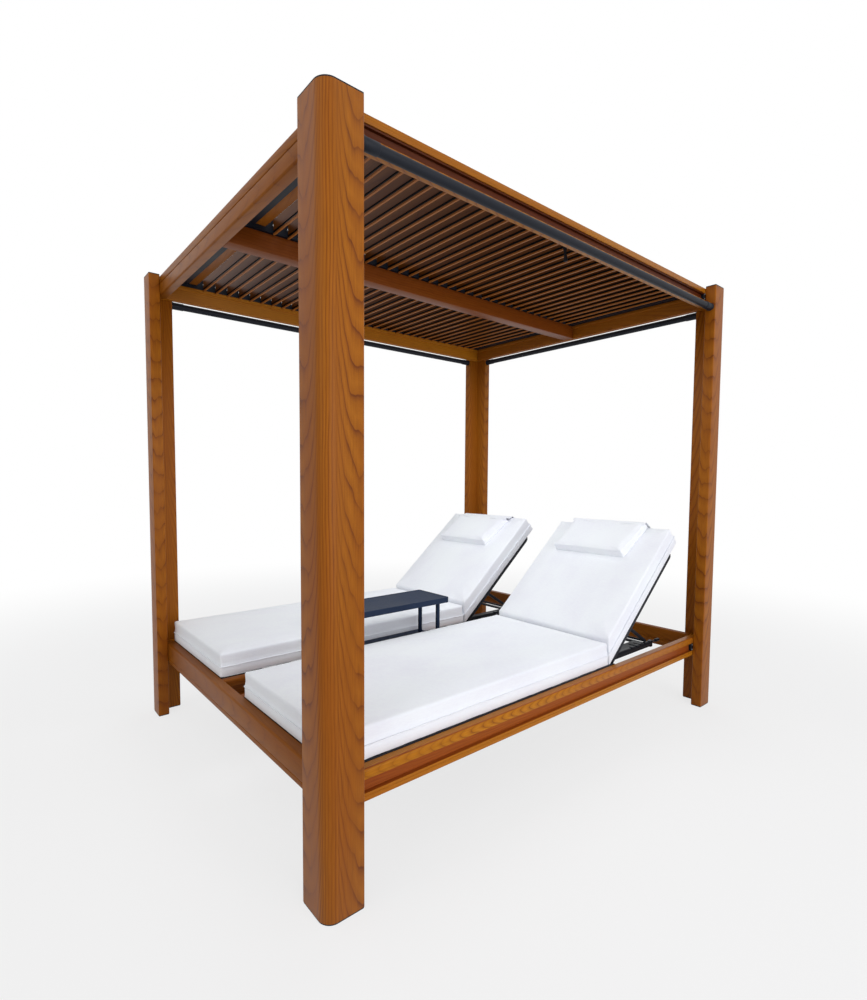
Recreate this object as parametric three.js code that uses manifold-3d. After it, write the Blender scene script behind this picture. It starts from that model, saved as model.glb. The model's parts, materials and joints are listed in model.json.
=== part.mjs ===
// Outdoor daybed under a louvred canopy: four posts carry a bed frame and a roof frame, two loungers with
// reclining backs lie side by side in the bed frame, and a small table stands over the gap between them.
// Lengths are millimetres. X runs from the foot to the head, Y from the near side to the far side, Z is up.
// Sizes are laid out from the outer corner of the near post at the foot, and the last lines move the
// origin to the ground under the middle of the footprint.
import * as THREE from "three";
import { mergeVertices } from "three/addons/utils/BufferGeometryUtils.js";
import Module from "manifold-3d";

const wasm = await Module();
wasm.setup();

// Driving dimensions
const footprint = { length: 2400, width: 1770, height: 2190 };
const fit = { seat: 0.3, weld: 1, overrun: 5 };
const post = { arm: 127, thickness: 50, outerRadius: 40, endRadius: 4 };

// Section shared by all rails and beams: a band on one edge, a sunk strip, a lip on the other edge and a
// ledge on the inner side. Bed rails have a groove in the lip and roof beams a step beside it. End rails have
// a plain outer face with one groove instead of the sunk strip.
const rail = {
  bandHeight: 30,
  lipHeight: 24,
  sunkDepth: 16,
  cornerRadius: 8,
  grooveSize: 2,
  grooveFromLip: 15,
  stepDepth: 5,
  stepHeight: 5,
  sideWall: 34,
  endWall: 40,
  ledgeFromBand: 61,
  ledgeThickness: 14,
  ledgeReach: 14,
};
const bed = {
  top: 365,
  railHeight: 95,
  gapWidth: 166,
  endGroove: { fromLip: 18, height: 2, depth: 2 },
  tieThickness: 6,
  tieWidth: 40,
};
const roof = {
  belowPostTop: 98,
  beamHeight: 88,
  endGroove: { fromLip: 33, height: 5, depth: 4 },
  centreBeamWidth: 66,
};

// Louvre carrier and louvres
const carrier = {
  height: 36,
  sideWidth: 14.4,
  centreWidth: 90,
  footReach: 100,
  headReach: 50,
  plateDrop: 12,
  plateThickness: 20,
  stripWidth: 46,
  stripThickness: 7,
  stripDrop: 17,
};
const louvre = {
  first: 271,
  lastFromHead: 170,
  pitch: 62.6,
  chord: 64,
  thickness: 8,
  lipHeight: 10,
  lipReach: 1.5,
  grooveHeight: 6.5,
  grooveDepth: 3,
  edgeChamfer: 2,
  pivotAboveLedge: 24,
  pinRadius: 3.9,
  pinSides: 8,
  pinReach: 9,
  endGap: 2,
};
const lever = {
  onLouvre: 15,
  fromNearFace: 107,
  headWidth: 24,
  neckWidth: 9,
  paddleWidth: 20,
  thickness: 7,
  headHeight: 32,
  headFromPivot: 8,
  reach: 104,
  neckShares: [0.4, 0.6],
  tipRadius: 5,
  lean: 8,
};

// Curtain rods
const rod = {
  radius: 15.5,
  sleeveRadius: 17.5,
  sleeveLength: 38,
  cupRadius: 19,
  cupLength: 10,
  belowBeam: 11,
  sides: 16,
};

// Loungers: seat deck, hinge, rack under the back
const deck = {
  wallClearance: 2.7,
  barThickness: 10,
  above: 1,
  endClearance: 2,
  slatWidth: 60,
  slatThickness: 12,
  slatCount: 9,
  hingeBarWidth: 24,
  hingeBarBehind: 21,
  barPastHinge: 18,
};
const hinge = { fromHead: 855, drop: 11, pinRadius: 5, pinSides: 12 };
const rack = {
  barWidth: 16,
  barHeight: 22,
  fromHinge: 537,
  insetFromBar: 75,
  notchCount: 5,
  notchWidth: 14,
  notchDepth: 9,
  notchPitch: 44,
  plateWidth: 82,
  plateThickness: 6,
  plateFromHinge: 75,
  slotWidth: 14,
  slotLength: 42,
  slotPitch: 42,
  crossWidth: 22,
  crossHeight: 11,
  pegRadius: 4.5,
  pegLength: 38,
  knobRadius: 8,
  knobLength: 40,
  pegSides: 12,
};
const back = {
  angle: 40,
  length: 758,
  tube: 24,
  tubeChamfer: 6,
  bendRadius: 60,
  innerBendRadius: 36,
  sideClearance: 1,
  slatWidth: 60,
  slatThickness: 8,
  slatCount: 6,
  firstSlat: 90,
  heel: 12,
};
const stay = {
  pivotReach: 270,
  pivotDrop: 6,
  armLength: 330,
  armWidth: 16,
  armThickness: 8,
  armClearance: 1,
  rodRadius: 6,
  rodAboveHinge: 1,
  pinRadius: 4,
  sides: 12,
  lugThickness: 6,
  lugWidth: 24,
};

// Cushions
const seatCushion = {
  fromRail: 0,
  toHinge: 23,
  sideInset: 5,
  height: 103,
  crown: 8,
  edge: 16,
  seamShare: 0.4,
  sideDraw: 5,
  seamProud: 2,
  endSlant: 0,
};
const backCushion = {
  start: 28,
  end: 800,
  sideInset: 11,
  height: 103,
  crown: 8,
  edge: 16,
  seamShare: 0.4,
  sideDraw: 5,
  seamProud: 2,
  endSlant: 72,
};
const pillow = {
  length: 250,
  width: 430,
  height: 52,
  crown: 8,
  edge: 22,
  fromEnd: 12,
  sink: 9,
  seamShare: 0.45,
  sideDraw: 4,
  seamProud: 3,
  endSlant: 0,
};
const slantShares = [0, 0.3, 0.5, 1, 0.68];

// Table between the loungers
const table = {
  fromFoot: 570,
  length: 600,
  width: 232,
  height: 241,
  slab: 27,
  panelInset: 9,
  panelDepth: 1.5,
  legSize: 16,
  legEndInset: 26,
  legSideInset: 39,
  cornerRadius: 10,
};

const wood = new THREE.MeshStandardMaterial({ color: 0xa9692c, roughness: 0.35, metalness: 0 });
const blackMetal = new THREE.MeshStandardMaterial({ color: 0x20242c, roughness: 0.45, metalness: 0.3 });
const tableMetal = new THREE.MeshStandardMaterial({ color: 0x323c4e, roughness: 0.5, metalness: 0.2 });
const fabric = new THREE.MeshStandardMaterial({ color: 0xeceef0, roughness: 0.9, metalness: 0 });

const radians = THREE.MathUtils.degToRad;
const axisX = new THREE.Vector3(1, 0, 0);
const axisY = new THREE.Vector3(0, 1, 0);
const axisZ = new THREE.Vector3(0, 0, 1);

// Booleans on closed geometries
function solid(geometry) {
  const bare = geometry.clone();
  bare.deleteAttribute("normal");
  bare.deleteAttribute("uv");
  const merged = mergeVertices(bare);
  const triVerts = new Uint32Array(merged.index.array);
  const vertProperties = new Float32Array(merged.attributes.position.array);
  return new wasm.Manifold(new wasm.Mesh({ numProp: 3, vertProperties, triVerts }));
}
function geometryOf(body) {
  const mesh = body.getMesh();
  const geometry = new THREE.BufferGeometry();
  geometry.setAttribute("position", new THREE.BufferAttribute(new Float32Array(mesh.vertProperties), 3));
  geometry.setIndex(new THREE.BufferAttribute(new Uint32Array(mesh.triVerts), 1));
  const flat = geometry.toNonIndexed();
  flat.computeVertexNormals();
  return flat;
}
function joined(geometries) {
  return geometries.map(solid).reduce((whole, next) => whole.add(next));
}
function joinedGeometry(geometries) {
  return geometryOf(joined(geometries));
}

// Outlines: each corner is [a, b] or [a, b, radius, arc steps]
function outline(corners) {
  const points = [];
  const count = corners.length;
  corners.forEach(([a, b, radius = 0, steps = 4], i) => {
    const here = new THREE.Vector2(a, b);
    if (!radius) {
      points.push(here);
      return;
    }
    const before = new THREE.Vector2(...corners[(i + count - 1) % count]).sub(here).normalize();
    const after = new THREE.Vector2(...corners[(i + 1) % count]).sub(here).normalize();
    const half = Math.acos(before.dot(after)) / 2;
    const centre = before.clone().add(after).normalize().multiplyScalar(radius / Math.sin(half)).add(here);
    const from = before.clone().multiplyScalar(radius / Math.tan(half)).add(here).sub(centre);
    const turn = Math.sign(before.x * after.y - before.y * after.x) * (Math.PI - 2 * half);
    for (let k = 0; k <= steps; k++) {
      points.push(from.clone().rotateAround(new THREE.Vector2(), (-turn * k) / steps).add(centre));
    }
  });
  return new THREE.Shape(points);
}
function prism(shape, length, bevel) {
  const settings = { depth: length, bevelEnabled: false };
  if (bevel) {
    Object.assign(settings, { depth: length - 2 * bevel, bevelEnabled: true, bevelSegments: 1 });
    Object.assign(settings, { bevelThickness: bevel, bevelSize: bevel, bevelOffset: -bevel });
  }
  const geometry = new THREE.ExtrudeGeometry(shape, settings);
  if (bevel) geometry.translate(0, 0, bevel);
  return geometry;
}
// An outline in (y, z) drawn out along X, one in (x, z) along Y, and one in (x, y) along Z
function prismX(shape, from, to, bevel) {
  const basis = new THREE.Matrix4().makeBasis(axisY, axisZ, axisX);
  return prism(shape, to - from, bevel).applyMatrix4(basis).translate(from, 0, 0);
}
function prismY(shape, from, to, bevel) {
  const basis = new THREE.Matrix4().makeBasis(axisX, axisZ, axisY.clone().negate());
  return prism(shape, to - from, bevel).applyMatrix4(basis).translate(0, to, 0);
}
function prismZ(shape, from, to, bevel) {
  return prism(shape, to - from, bevel).translate(0, 0, from);
}
function box(from, to) {
  const size = to.map((value, i) => value - from[i]);
  const centre = to.map((value, i) => (value + from[i]) / 2);
  return new THREE.BoxGeometry(...size).translate(...centre);
}
function rectangle(a0, b0, a1, b1, radius, steps) {
  return outline([
    [a0, b0, radius, steps],
    [a1, b0, radius, steps],
    [a1, b1, radius, steps],
    [a0, b1, radius, steps],
  ]);
}
function cylinderX(radius, from, to, sides) {
  return new THREE.CylinderGeometry(radius, radius, to - from, sides)
    .rotateZ(Math.PI / 2)
    .translate((from + to) / 2, 0, 0);
}
function cylinderY(radius, from, to, sides) {
  return new THREE.CylinderGeometry(radius, radius, to - from, sides).translate(0, (from + to) / 2, 0);
}

const root = new THREE.Group();
const model = new THREE.Group();
root.add(model);
function addMesh(parent, name, geometry, material) {
  const mesh = new THREE.Mesh(geometry, material.clone());
  mesh.name = name;
  parent.add(mesh);
  return mesh;
}
// Places a piece drawn at the near or foot end also at the far or head end, turned half round the middle
function turnedGroup(quarters) {
  const group = new THREE.Group();
  group.position.set(footprint.length / 2, footprint.width / 2, 0);
  group.rotation.z = (quarters * Math.PI) / 2;
  model.add(group);
  return group;
}
const atNear = turnedGroup(0);
const atFar = turnedGroup(2);

// Places and levels that several pieces share
const railFace = post.thickness + fit.seat;
const sideWallInner = railFace + rail.sideWall;
const endWallInner = railFace + rail.endWall;
const endLedgeInner = endWallInner + rail.ledgeReach;
const middle = footprint.width / 2;
const bedLedgeTop = bed.top - rail.ledgeFromBand;
const roofUnderside = footprint.height - roof.belowPostTop;
const roofLedgeTop = roofUnderside + rail.ledgeFromBand + rail.ledgeThickness;
const innerRailFace = middle - bed.gapWidth / 2;
const bayInner = innerRailFace - rail.sideWall;
const bayCentre = (sideWallInner + bayInner) / 2;
const farBayShift = 2 * (middle - bayCentre);

// Posts
function postGeometry(height) {
  const shape = outline([
    [0, 0, post.outerRadius, 8],
    [post.arm, 0, post.endRadius, 3],
    [post.arm, post.thickness, post.endRadius, 3],
    [post.thickness, post.thickness],
    [post.thickness, post.arm, post.endRadius, 3],
    [0, post.arm, post.endRadius, 3],
  ]);
  return prismZ(shape, 0, height);
}
const postPlaces = [
  ["post_near_foot", 0, 0, 0],
  ["post_near_head", footprint.length, 0, 1],
  ["post_far_head", footprint.length, footprint.width, 2],
  ["post_far_foot", 0, footprint.width, 3],
];
for (const [name, x, y, quarters] of postPlaces) {
  const mesh = addMesh(model, name, postGeometry(footprint.height), wood);
  mesh.position.set(x, y, 0);
  mesh.rotation.z = (quarters * Math.PI) / 2;
}

// Rail sections in (depth from the outer face, distance from the band edge)
function innerSide(wall, height) {
  return [
    [wall, 0],
    [wall, rail.ledgeFromBand],
    [wall + rail.ledgeReach, rail.ledgeFromBand],
    [wall + rail.ledgeReach, rail.ledgeFromBand + rail.ledgeThickness],
    [wall, rail.ledgeFromBand + rail.ledgeThickness],
    [wall, height],
    [0, height],
  ];
}
function groovedLip(height) {
  const groove = height - rail.grooveFromLip;
  return [
    [0, groove + rail.grooveSize / 2],
    [rail.grooveSize, groove],
    [0, groove - rail.grooveSize / 2],
    [0, height - rail.lipHeight],
    [rail.sunkDepth, height - rail.lipHeight],
  ];
}
function steppedLip(height) {
  const lipStart = height - rail.lipHeight;
  return [
    [0, lipStart],
    [rail.stepDepth, lipStart],
    [rail.stepDepth, lipStart - rail.stepHeight],
    [rail.sunkDepth, lipStart - rail.stepHeight],
  ];
}
function sideSection(height, lip) {
  return [
    ...innerSide(rail.sideWall, height),
    ...lip,
    [rail.sunkDepth, rail.bandHeight],
    [0, rail.bandHeight],
    [0, 0, rail.cornerRadius, 4],
  ];
}
function endSection(height, groove) {
  const level = height - groove.fromLip;
  return [
    ...innerSide(rail.endWall, height),
    [0, level + groove.height / 2],
    [groove.depth, level],
    [0, level - groove.height / 2],
    [0, 0, rail.cornerRadius, 4],
  ];
}
const bedSideSection = sideSection(bed.railHeight, groovedLip(bed.railHeight));
const bedEndSection = endSection(bed.railHeight, bed.endGroove);
const roofSideSection = sideSection(roof.beamHeight, steppedLip(roof.beamHeight));
const roofEndSection = endSection(roof.beamHeight, roof.endGroove);
// The band lies on top of bed rails and at the bottom of roof beams
function placed(section, face, sign, bandLevel, up) {
  const corners = section.map(([depth, along, ...arc]) => {
    return [face + sign * depth, bandLevel + up * along, ...arc];
  });
  return outline(corners);
}
// Mitred ends: each point moves inwards by its depth behind the outer face
function mitred(geometry, along, across, from, to, face) {
  const points = geometry.attributes.position;
  for (let i = 0; i < points.count; i++) {
    const place = points.getComponent(i, along);
    const depth = points.getComponent(i, across) - face;
    const nearStart = Math.abs(place - from) < Math.abs(place - to);
    points.setComponent(i, along, nearStart ? place + depth : place - depth);
  }
  geometry.computeVertexNormals();
  return geometry;
}
function sideRail(section, bandLevel, up) {
  const from = railFace + fit.seat;
  const to = footprint.length - from;
  const shape = placed(section, railFace, 1, bandLevel, up);
  return mitred(prismX(shape, from, to), 0, 1, from, to, railFace);
}
function endRail(section, bandLevel, up) {
  const from = railFace;
  const to = footprint.width - from;
  const shape = placed(section, railFace, 1, bandLevel, up);
  return mitred(prismY(shape, from, to), 1, 0, from, to, railFace);
}
function addTurned(name, geometry, group) {
  addMesh(group, name, geometry.translate(-footprint.length / 2, -footprint.width / 2, 0), wood);
}
addTurned("bed_rail_near", sideRail(bedSideSection, bed.top, -1), atNear);
addTurned("bed_rail_far", sideRail(bedSideSection, bed.top, -1), atFar);
addTurned("bed_rail_foot", endRail(bedEndSection, bed.top, -1), atNear);
addTurned("bed_rail_head", endRail(bedEndSection, bed.top, -1), atFar);
addTurned("roof_beam_near", sideRail(roofSideSection, roofUnderside, 1), atNear);
addTurned("roof_beam_far", sideRail(roofSideSection, roofUnderside, 1), atFar);
addTurned("roof_beam_foot", endRail(roofEndSection, roofUnderside, 1), atNear);
addTurned("roof_beam_head", endRail(roofEndSection, roofUnderside, 1), atFar);

// Centre roof beam, stepped at both ends to pass under the ledges of the end beams
const beamEnd = endWallInner + fit.seat;
const beamStep = endLedgeInner + fit.seat;
const ledgeUnderside = roofLedgeTop - rail.ledgeThickness - fit.seat;
const centreBeamShape = outline([
  [beamEnd, roofUnderside],
  [footprint.length - beamEnd, roofUnderside],
  [footprint.length - beamEnd, ledgeUnderside],
  [footprint.length - beamStep, ledgeUnderside],
  [footprint.length - beamStep, roofLedgeTop],
  [beamStep, roofLedgeTop],
  [beamStep, ledgeUnderside],
  [beamEnd, ledgeUnderside],
]);
const centreBeamFrom = middle - roof.centreBeamWidth / 2;
addMesh(
  model,
  "roof_beam_centre",
  prismY(centreBeamShape, centreBeamFrom, middle + roof.centreBeamWidth / 2),
  wood,
);

// Louvre carrier: a foot rail with its flat strip, a head rail, two side rails and a centre rail, the last
// three notched from above for the louvre pins
const carrierBottom = roofLedgeTop + fit.seat;
const carrierTop = carrierBottom + carrier.height;
const pivotLevel = roofLedgeTop + louvre.pivotAboveLedge;
const carrierFrom = endWallInner + fit.seat;
const carrierTo = footprint.length - carrierFrom;
const carrierSideFrom = sideWallInner + fit.seat;
const footPlateTo = carrierFrom + carrier.footReach;
const headPlateFrom = carrierTo - carrier.headReach;
const louvreRun = footprint.length - louvre.first - louvre.lastFromHead;
const louvreCount = Math.floor(louvreRun / louvre.pitch) + 1;
function louvrePlace(index) {
  return louvre.first + index * louvre.pitch;
}
function notchedRail(from, to) {
  const half = louvre.pinRadius + fit.seat;
  const corners = [
    [carrierFrom, carrierBottom],
    [carrierTo, carrierBottom],
    [carrierTo, carrierTop],
  ];
  for (let i = louvreCount - 1; i >= 0; i--) {
    const x = louvrePlace(i);
    corners.push([x + half, carrierTop], [x + half, pivotLevel - half]);
    corners.push([x - half, pivotLevel - half], [x - half, carrierTop]);
  }
  corners.push([carrierFrom, carrierTop]);
  return prismY(outline(corners), from, to);
}
const carrierFar = footprint.width - carrierSideFrom;
const plateLevel = carrierBottom + carrier.plateDrop;
const stripFrom = footPlateTo - fit.weld;
const stripLevel = carrierBottom + carrier.stripDrop;
function crossBar(from, to, low, high) {
  return box([from, carrierSideFrom, low], [to, carrierFar, high]);
}
const carrierParts = [
  notchedRail(carrierSideFrom, carrierSideFrom + carrier.sideWidth),
  notchedRail(carrierFar - carrier.sideWidth, carrierFar),
  notchedRail(middle - carrier.centreWidth / 2, middle + carrier.centreWidth / 2),
  crossBar(carrierFrom, carrierFrom + rail.ledgeReach, carrierBottom, carrierTop),
  crossBar(carrierFrom, footPlateTo, plateLevel, plateLevel + carrier.plateThickness),
  crossBar(headPlateFrom, carrierTo, carrierBottom, carrierTop),
  crossBar(stripFrom, stripFrom + carrier.stripWidth, stripLevel, stripLevel + carrier.stripThickness),
];
addMesh(model, "louvre_carrier", joinedGeometry(carrierParts), blackMetal);

// Louvres: a blade in each bay on one long pin, upright at rest. Blade section in (x, z) about the pivot.
const bladeShape = outline([
  [-louvre.thickness / 2 - louvre.lipReach, -louvre.chord / 2],
  [louvre.thickness / 2 - louvre.edgeChamfer, -louvre.chord / 2],
  [louvre.thickness / 2, -louvre.chord / 2 + louvre.edgeChamfer],
  [louvre.thickness / 2, louvre.chord / 2 - louvre.edgeChamfer],
  [louvre.thickness / 2 - louvre.edgeChamfer, louvre.chord / 2],
  [-louvre.thickness / 2, louvre.chord / 2],
  [-louvre.thickness / 2, -louvre.chord / 2 + louvre.lipHeight + louvre.grooveHeight],
  [-louvre.thickness / 2 + louvre.grooveDepth, -louvre.chord / 2 + louvre.lipHeight + louvre.grooveHeight],
  [-louvre.thickness / 2 + louvre.grooveDepth, -louvre.chord / 2 + louvre.lipHeight],
  [-louvre.thickness / 2 - louvre.lipReach, -louvre.chord / 2 + louvre.lipHeight],
]);
const bladeFrom = carrierSideFrom + carrier.sideWidth + louvre.endGap;
const bladeTo = middle - carrier.centreWidth / 2 - louvre.endGap;
const pinFrom = bladeFrom - louvre.pinReach;
const louvreGeometry = joinedGeometry([
  prismY(bladeShape, bladeFrom, bladeTo),
  prismY(bladeShape, footprint.width - bladeTo, footprint.width - bladeFrom),
  cylinderY(louvre.pinRadius, pinFrom, footprint.width - pinFrom, louvre.pinSides),
]);
for (let i = 0; i < louvreCount; i++) {
  const mesh = addMesh(model, "louvre_" + String(i + 1).padStart(2, "0"), louvreGeometry.clone(), wood);
  mesh.position.set(louvrePlace(i), 0, pivotLevel);
}

// Lever that turns the louvres: it hangs from the near blade of one louvre, wide at its head, narrow at its
// neck and wider again at its tip
const leverY = railFace + lever.fromNearFace;
const leverSkin = louvre.thickness / 2 + fit.seat;
const headTop = -lever.headFromPivot;
const headBottom = headTop - lever.headHeight;
const [neckTop, neckBottom] = lever.neckShares.map((share) => headBottom - (lever.reach + headBottom) * share);
const leverShape = outline([
  [leverY - lever.headWidth / 2, headTop],
  [leverY - lever.headWidth / 2, headBottom],
  [leverY - lever.neckWidth / 2, neckTop],
  [leverY - lever.neckWidth / 2, neckBottom],
  [leverY - lever.paddleWidth / 2, -lever.reach, lever.tipRadius, 4],
  [leverY + lever.paddleWidth / 2, -lever.reach, lever.tipRadius, 4],
  [leverY + lever.neckWidth / 2, neckBottom],
  [leverY + lever.neckWidth / 2, neckTop],
  [leverY + lever.headWidth / 2, headBottom],
  [leverY + lever.headWidth / 2, headTop],
]);
const leverGeometry = prismX(leverShape, leverSkin, leverSkin + lever.thickness);
const leverPoints = leverGeometry.attributes.position;
for (let i = 0; i < leverPoints.count; i++) {
  const drop = (headBottom - leverPoints.getZ(i)) / (lever.reach + headBottom);
  leverPoints.setX(i, leverPoints.getX(i) + Math.max(0, drop) * lever.lean);
}
const leverMesh = addMesh(model, "louvre_lever", leverGeometry, blackMetal);
leverMesh.position.set(louvrePlace(lever.onLouvre), 0, pivotLevel);

// Curtain rods along both sides and the head, each with a sleeve and a cup at both ends
function rodGeometry(length) {
  const ends = [];
  for (const [start, sign] of [[0, 1], [length, -1]]) {
    const cup = [start, start + sign * rod.cupLength].sort((a, b) => a - b);
    const sleeve = [start, start + sign * (rod.cupLength + rod.sleeveLength)].sort((a, b) => a - b);
    ends.push(cylinderX(rod.cupRadius, ...cup, rod.sides));
    ends.push(cylinderX(rod.sleeveRadius, ...sleeve, rod.sides));
  }
  return joinedGeometry([cylinderX(rod.radius, 0, length, rod.sides), ...ends]);
}
const rodSeat = post.arm + fit.seat;
const sideRodLength = footprint.length - 2 * rodSeat;
const headRodLength = footprint.width - 2 * rodSeat;
const rodInset = post.thickness / 2;
const rodLevel = roofUnderside - rod.belowBeam;
const nearRod = addMesh(model, "curtain_rod_near", rodGeometry(sideRodLength), blackMetal);
nearRod.position.set(rodSeat, rodInset, rodLevel);
const farRod = addMesh(model, "curtain_rod_far", rodGeometry(sideRodLength), blackMetal);
farRod.position.set(rodSeat, footprint.width - rodInset, rodLevel);
const headRod = addMesh(model, "curtain_rod_head", rodGeometry(headRodLength), blackMetal);
headRod.position.set(footprint.length - rodInset, rodSeat, rodLevel);
headRod.rotation.z = Math.PI / 2;

// Bed deck: two inner rails tied across the gap, and in each bay a seat frame with slats, the hinge bar and
// the rack that holds the back up
const deckTop = bed.top + deck.above;
const hingeFrom = footprint.length - hinge.fromHead;
const hingeLevel = deckTop - hinge.drop;
const barOuter = sideWallInner + deck.wallClearance;
const barInnerFar = bayInner - deck.wallClearance;
const frameFrom = endWallInner + deck.endClearance;
const barFrom = endLedgeInner + deck.endClearance;
const barTo = hingeFrom + deck.barPastHinge;
const hingeBarTo = hingeFrom - deck.hingeBarBehind;
const hingeBarFrom = hingeBarTo - deck.hingeBarWidth;
const rackTop = hingeLevel + stay.rodAboveHinge + deck.above;
const rackBottom = rackTop - rack.barHeight;
const rackTo = hingeFrom + rack.fromHinge;
const rackOuter = barOuter + deck.barThickness + rack.insetFromBar;
const rackInner = rackOuter + rack.barWidth;
const plateTop = rackBottom;
function mirrorInBay(y) {
  return 2 * bayCentre - y;
}
function bothSides(from, to) {
  const [x0, y0, z0] = from;
  const [x1, y1, z1] = to;
  return [box(from, to), box([x0, mirrorInBay(y1), z0], [x1, mirrorInBay(y0), z1])];
}
function seatSlats() {
  const slats = [];
  const low = deckTop - deck.slatThickness;
  const step = (hingeBarFrom - barFrom) / (deck.slatCount + 1);
  for (let i = 1; i <= deck.slatCount; i++) {
    const x = barFrom + i * step - deck.slatWidth / 2;
    slats.push(box([x, barOuter + fit.weld, low], [x + deck.slatWidth, barInnerFar - fit.weld, deckTop]));
  }
  return slats;
}
function rackBar() {
  const corners = [
    [hingeBarTo - fit.weld, rackBottom],
    [rackTo, rackBottom],
    [rackTo, rackTop],
  ];
  const last = rackTo - rack.crossWidth - rack.notchWidth;
  const half = rack.notchWidth / 2;
  for (let i = 0; i < rack.notchCount; i++) {
    const x = last - i * rack.notchPitch;
    corners.push([x + half, rackTop], [x, rackTop - rack.notchDepth], [x - half, rackTop]);
  }
  corners.push([hingeBarTo - fit.weld, rackTop]);
  return outline(corners);
}
function deckHalf() {
  const shape = rackBar();
  const plateFrom = hingeFrom + rack.plateFromHinge;
  const plateLow = plateTop - rack.plateThickness;
  const plateInner = rackInner + rack.plateWidth;
  const crossFrom = rackTo - rack.crossWidth;
  const barInner = barOuter + deck.barThickness;
  const [spanFrom, spanTo] = [barOuter + fit.weld, barInnerFar - fit.weld];
  const parts = [
    ...bothSides([barFrom, barOuter, bedLedgeTop + fit.seat], [barTo, barInner, deckTop]),
    box([frameFrom, barOuter, deckTop - back.tube], [barFrom + fit.weld, barInnerFar, deckTop]),
    box([hingeBarFrom, spanFrom, rackBottom], [hingeBarTo, spanTo, rackTop]),
    ...seatSlats(),
    prismY(shape, rackOuter, rackInner),
    prismY(shape, mirrorInBay(rackInner), mirrorInBay(rackOuter)),
    ...bothSides([plateFrom, rackOuter, plateLow], [rackTo, plateInner, plateTop + fit.weld]),
    box([crossFrom, rackOuter, plateTop - rack.crossHeight], [rackTo, mirrorInBay(rackOuter), plateTop]),
  ];
  const pegLevel = (rackTop + rackBottom) / 2;
  const knobFrom = rackTo + rack.pegLength;
  for (const y of [rackOuter + rack.barWidth / 2, mirrorInBay(rackOuter + rack.barWidth / 2)]) {
    const peg = cylinderX(rack.pegRadius, rackTo - fit.weld, knobFrom + fit.weld, rack.pegSides);
    const knob = cylinderX(rack.knobRadius, knobFrom, knobFrom + rack.knobLength, rack.pegSides);
    parts.push(peg.translate(0, y, pegLevel), knob.translate(0, y, pegLevel));
  }
  const cuts = [];
  for (let i = 1; i <= 2; i++) {
    const x = crossFrom - i * rack.slotPitch;
    const y = rackInner + (rack.plateWidth - rack.slotLength) / 2;
    const low = plateLow - fit.overrun;
    const high = plateTop + fit.overrun;
    cuts.push(...bothSides([x, y, low], [x + rack.slotWidth, y + rack.slotLength, high]));
  }
  const boreRadius = hinge.pinRadius + fit.seat;
  const bore = cylinderY(boreRadius, barOuter - fit.overrun, barInnerFar + fit.overrun, hinge.pinSides);
  bore.translate(hingeFrom, 0, hingeLevel);
  return joined(parts).subtract(joined(cuts)).subtract(solid(bore));
}
function innerRail(sign) {
  const face = middle + (sign * bed.gapWidth) / 2;
  const from = endWallInner + fit.seat;
  const cutTo = endLedgeInner + fit.seat;
  const clearLow = bedLedgeTop - rail.ledgeThickness - fit.seat;
  const clearHigh = bedLedgeTop + fit.seat;
  const shape = placed(bedSideSection, face, sign, bed.top, -1);
  const ledgeCuts = [
    box([0, 0, clearLow], [cutTo, footprint.width, clearHigh]),
    box([footprint.length - cutTo, 0, clearLow], [footprint.length, footprint.width, clearHigh]),
  ];
  return solid(prismX(shape, from, footprint.length - from)).subtract(joined(ledgeCuts));
}
function innerBarFeet(sign) {
  const wall = middle + sign * (bed.gapWidth / 2 + rail.sideWall);
  const inner = wall + sign * (deck.wallClearance + deck.barThickness);
  const [y0, y1] = [wall - sign * fit.weld, inner].sort((a, b) => a - b);
  const to = hingeFrom - deck.barPastHinge;
  return box([barFrom, y0, bedLedgeTop - fit.weld], [to, y1, bedLedgeTop + fit.weld]);
}
const halfDeck = deckHalf();
const tieFrom = table.fromFoot + table.legEndInset;
const tieTo = table.fromFoot + table.length - table.legEndInset - bed.tieWidth;
let wholeDeck = halfDeck.add(halfDeck.translate([0, farBayShift, 0]));
for (const sign of [-1, 1]) wholeDeck = wholeDeck.add(innerRail(sign)).add(solid(innerBarFeet(sign)));
const tieLow = bed.top - bed.railHeight;
const tieHigh = tieLow + bed.tieThickness;
const tieReach = bed.gapWidth / 2 + fit.weld;
for (const x of [tieFrom, tieTo]) {
  const tie = box([x, middle - tieReach, tieLow], [x + bed.tieWidth, middle + tieReach, tieHigh]);
  wholeDeck = wholeDeck.add(solid(tie));
}
addMesh(model, "bed_deck", geometryOf(wholeDeck), blackMetal);

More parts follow.
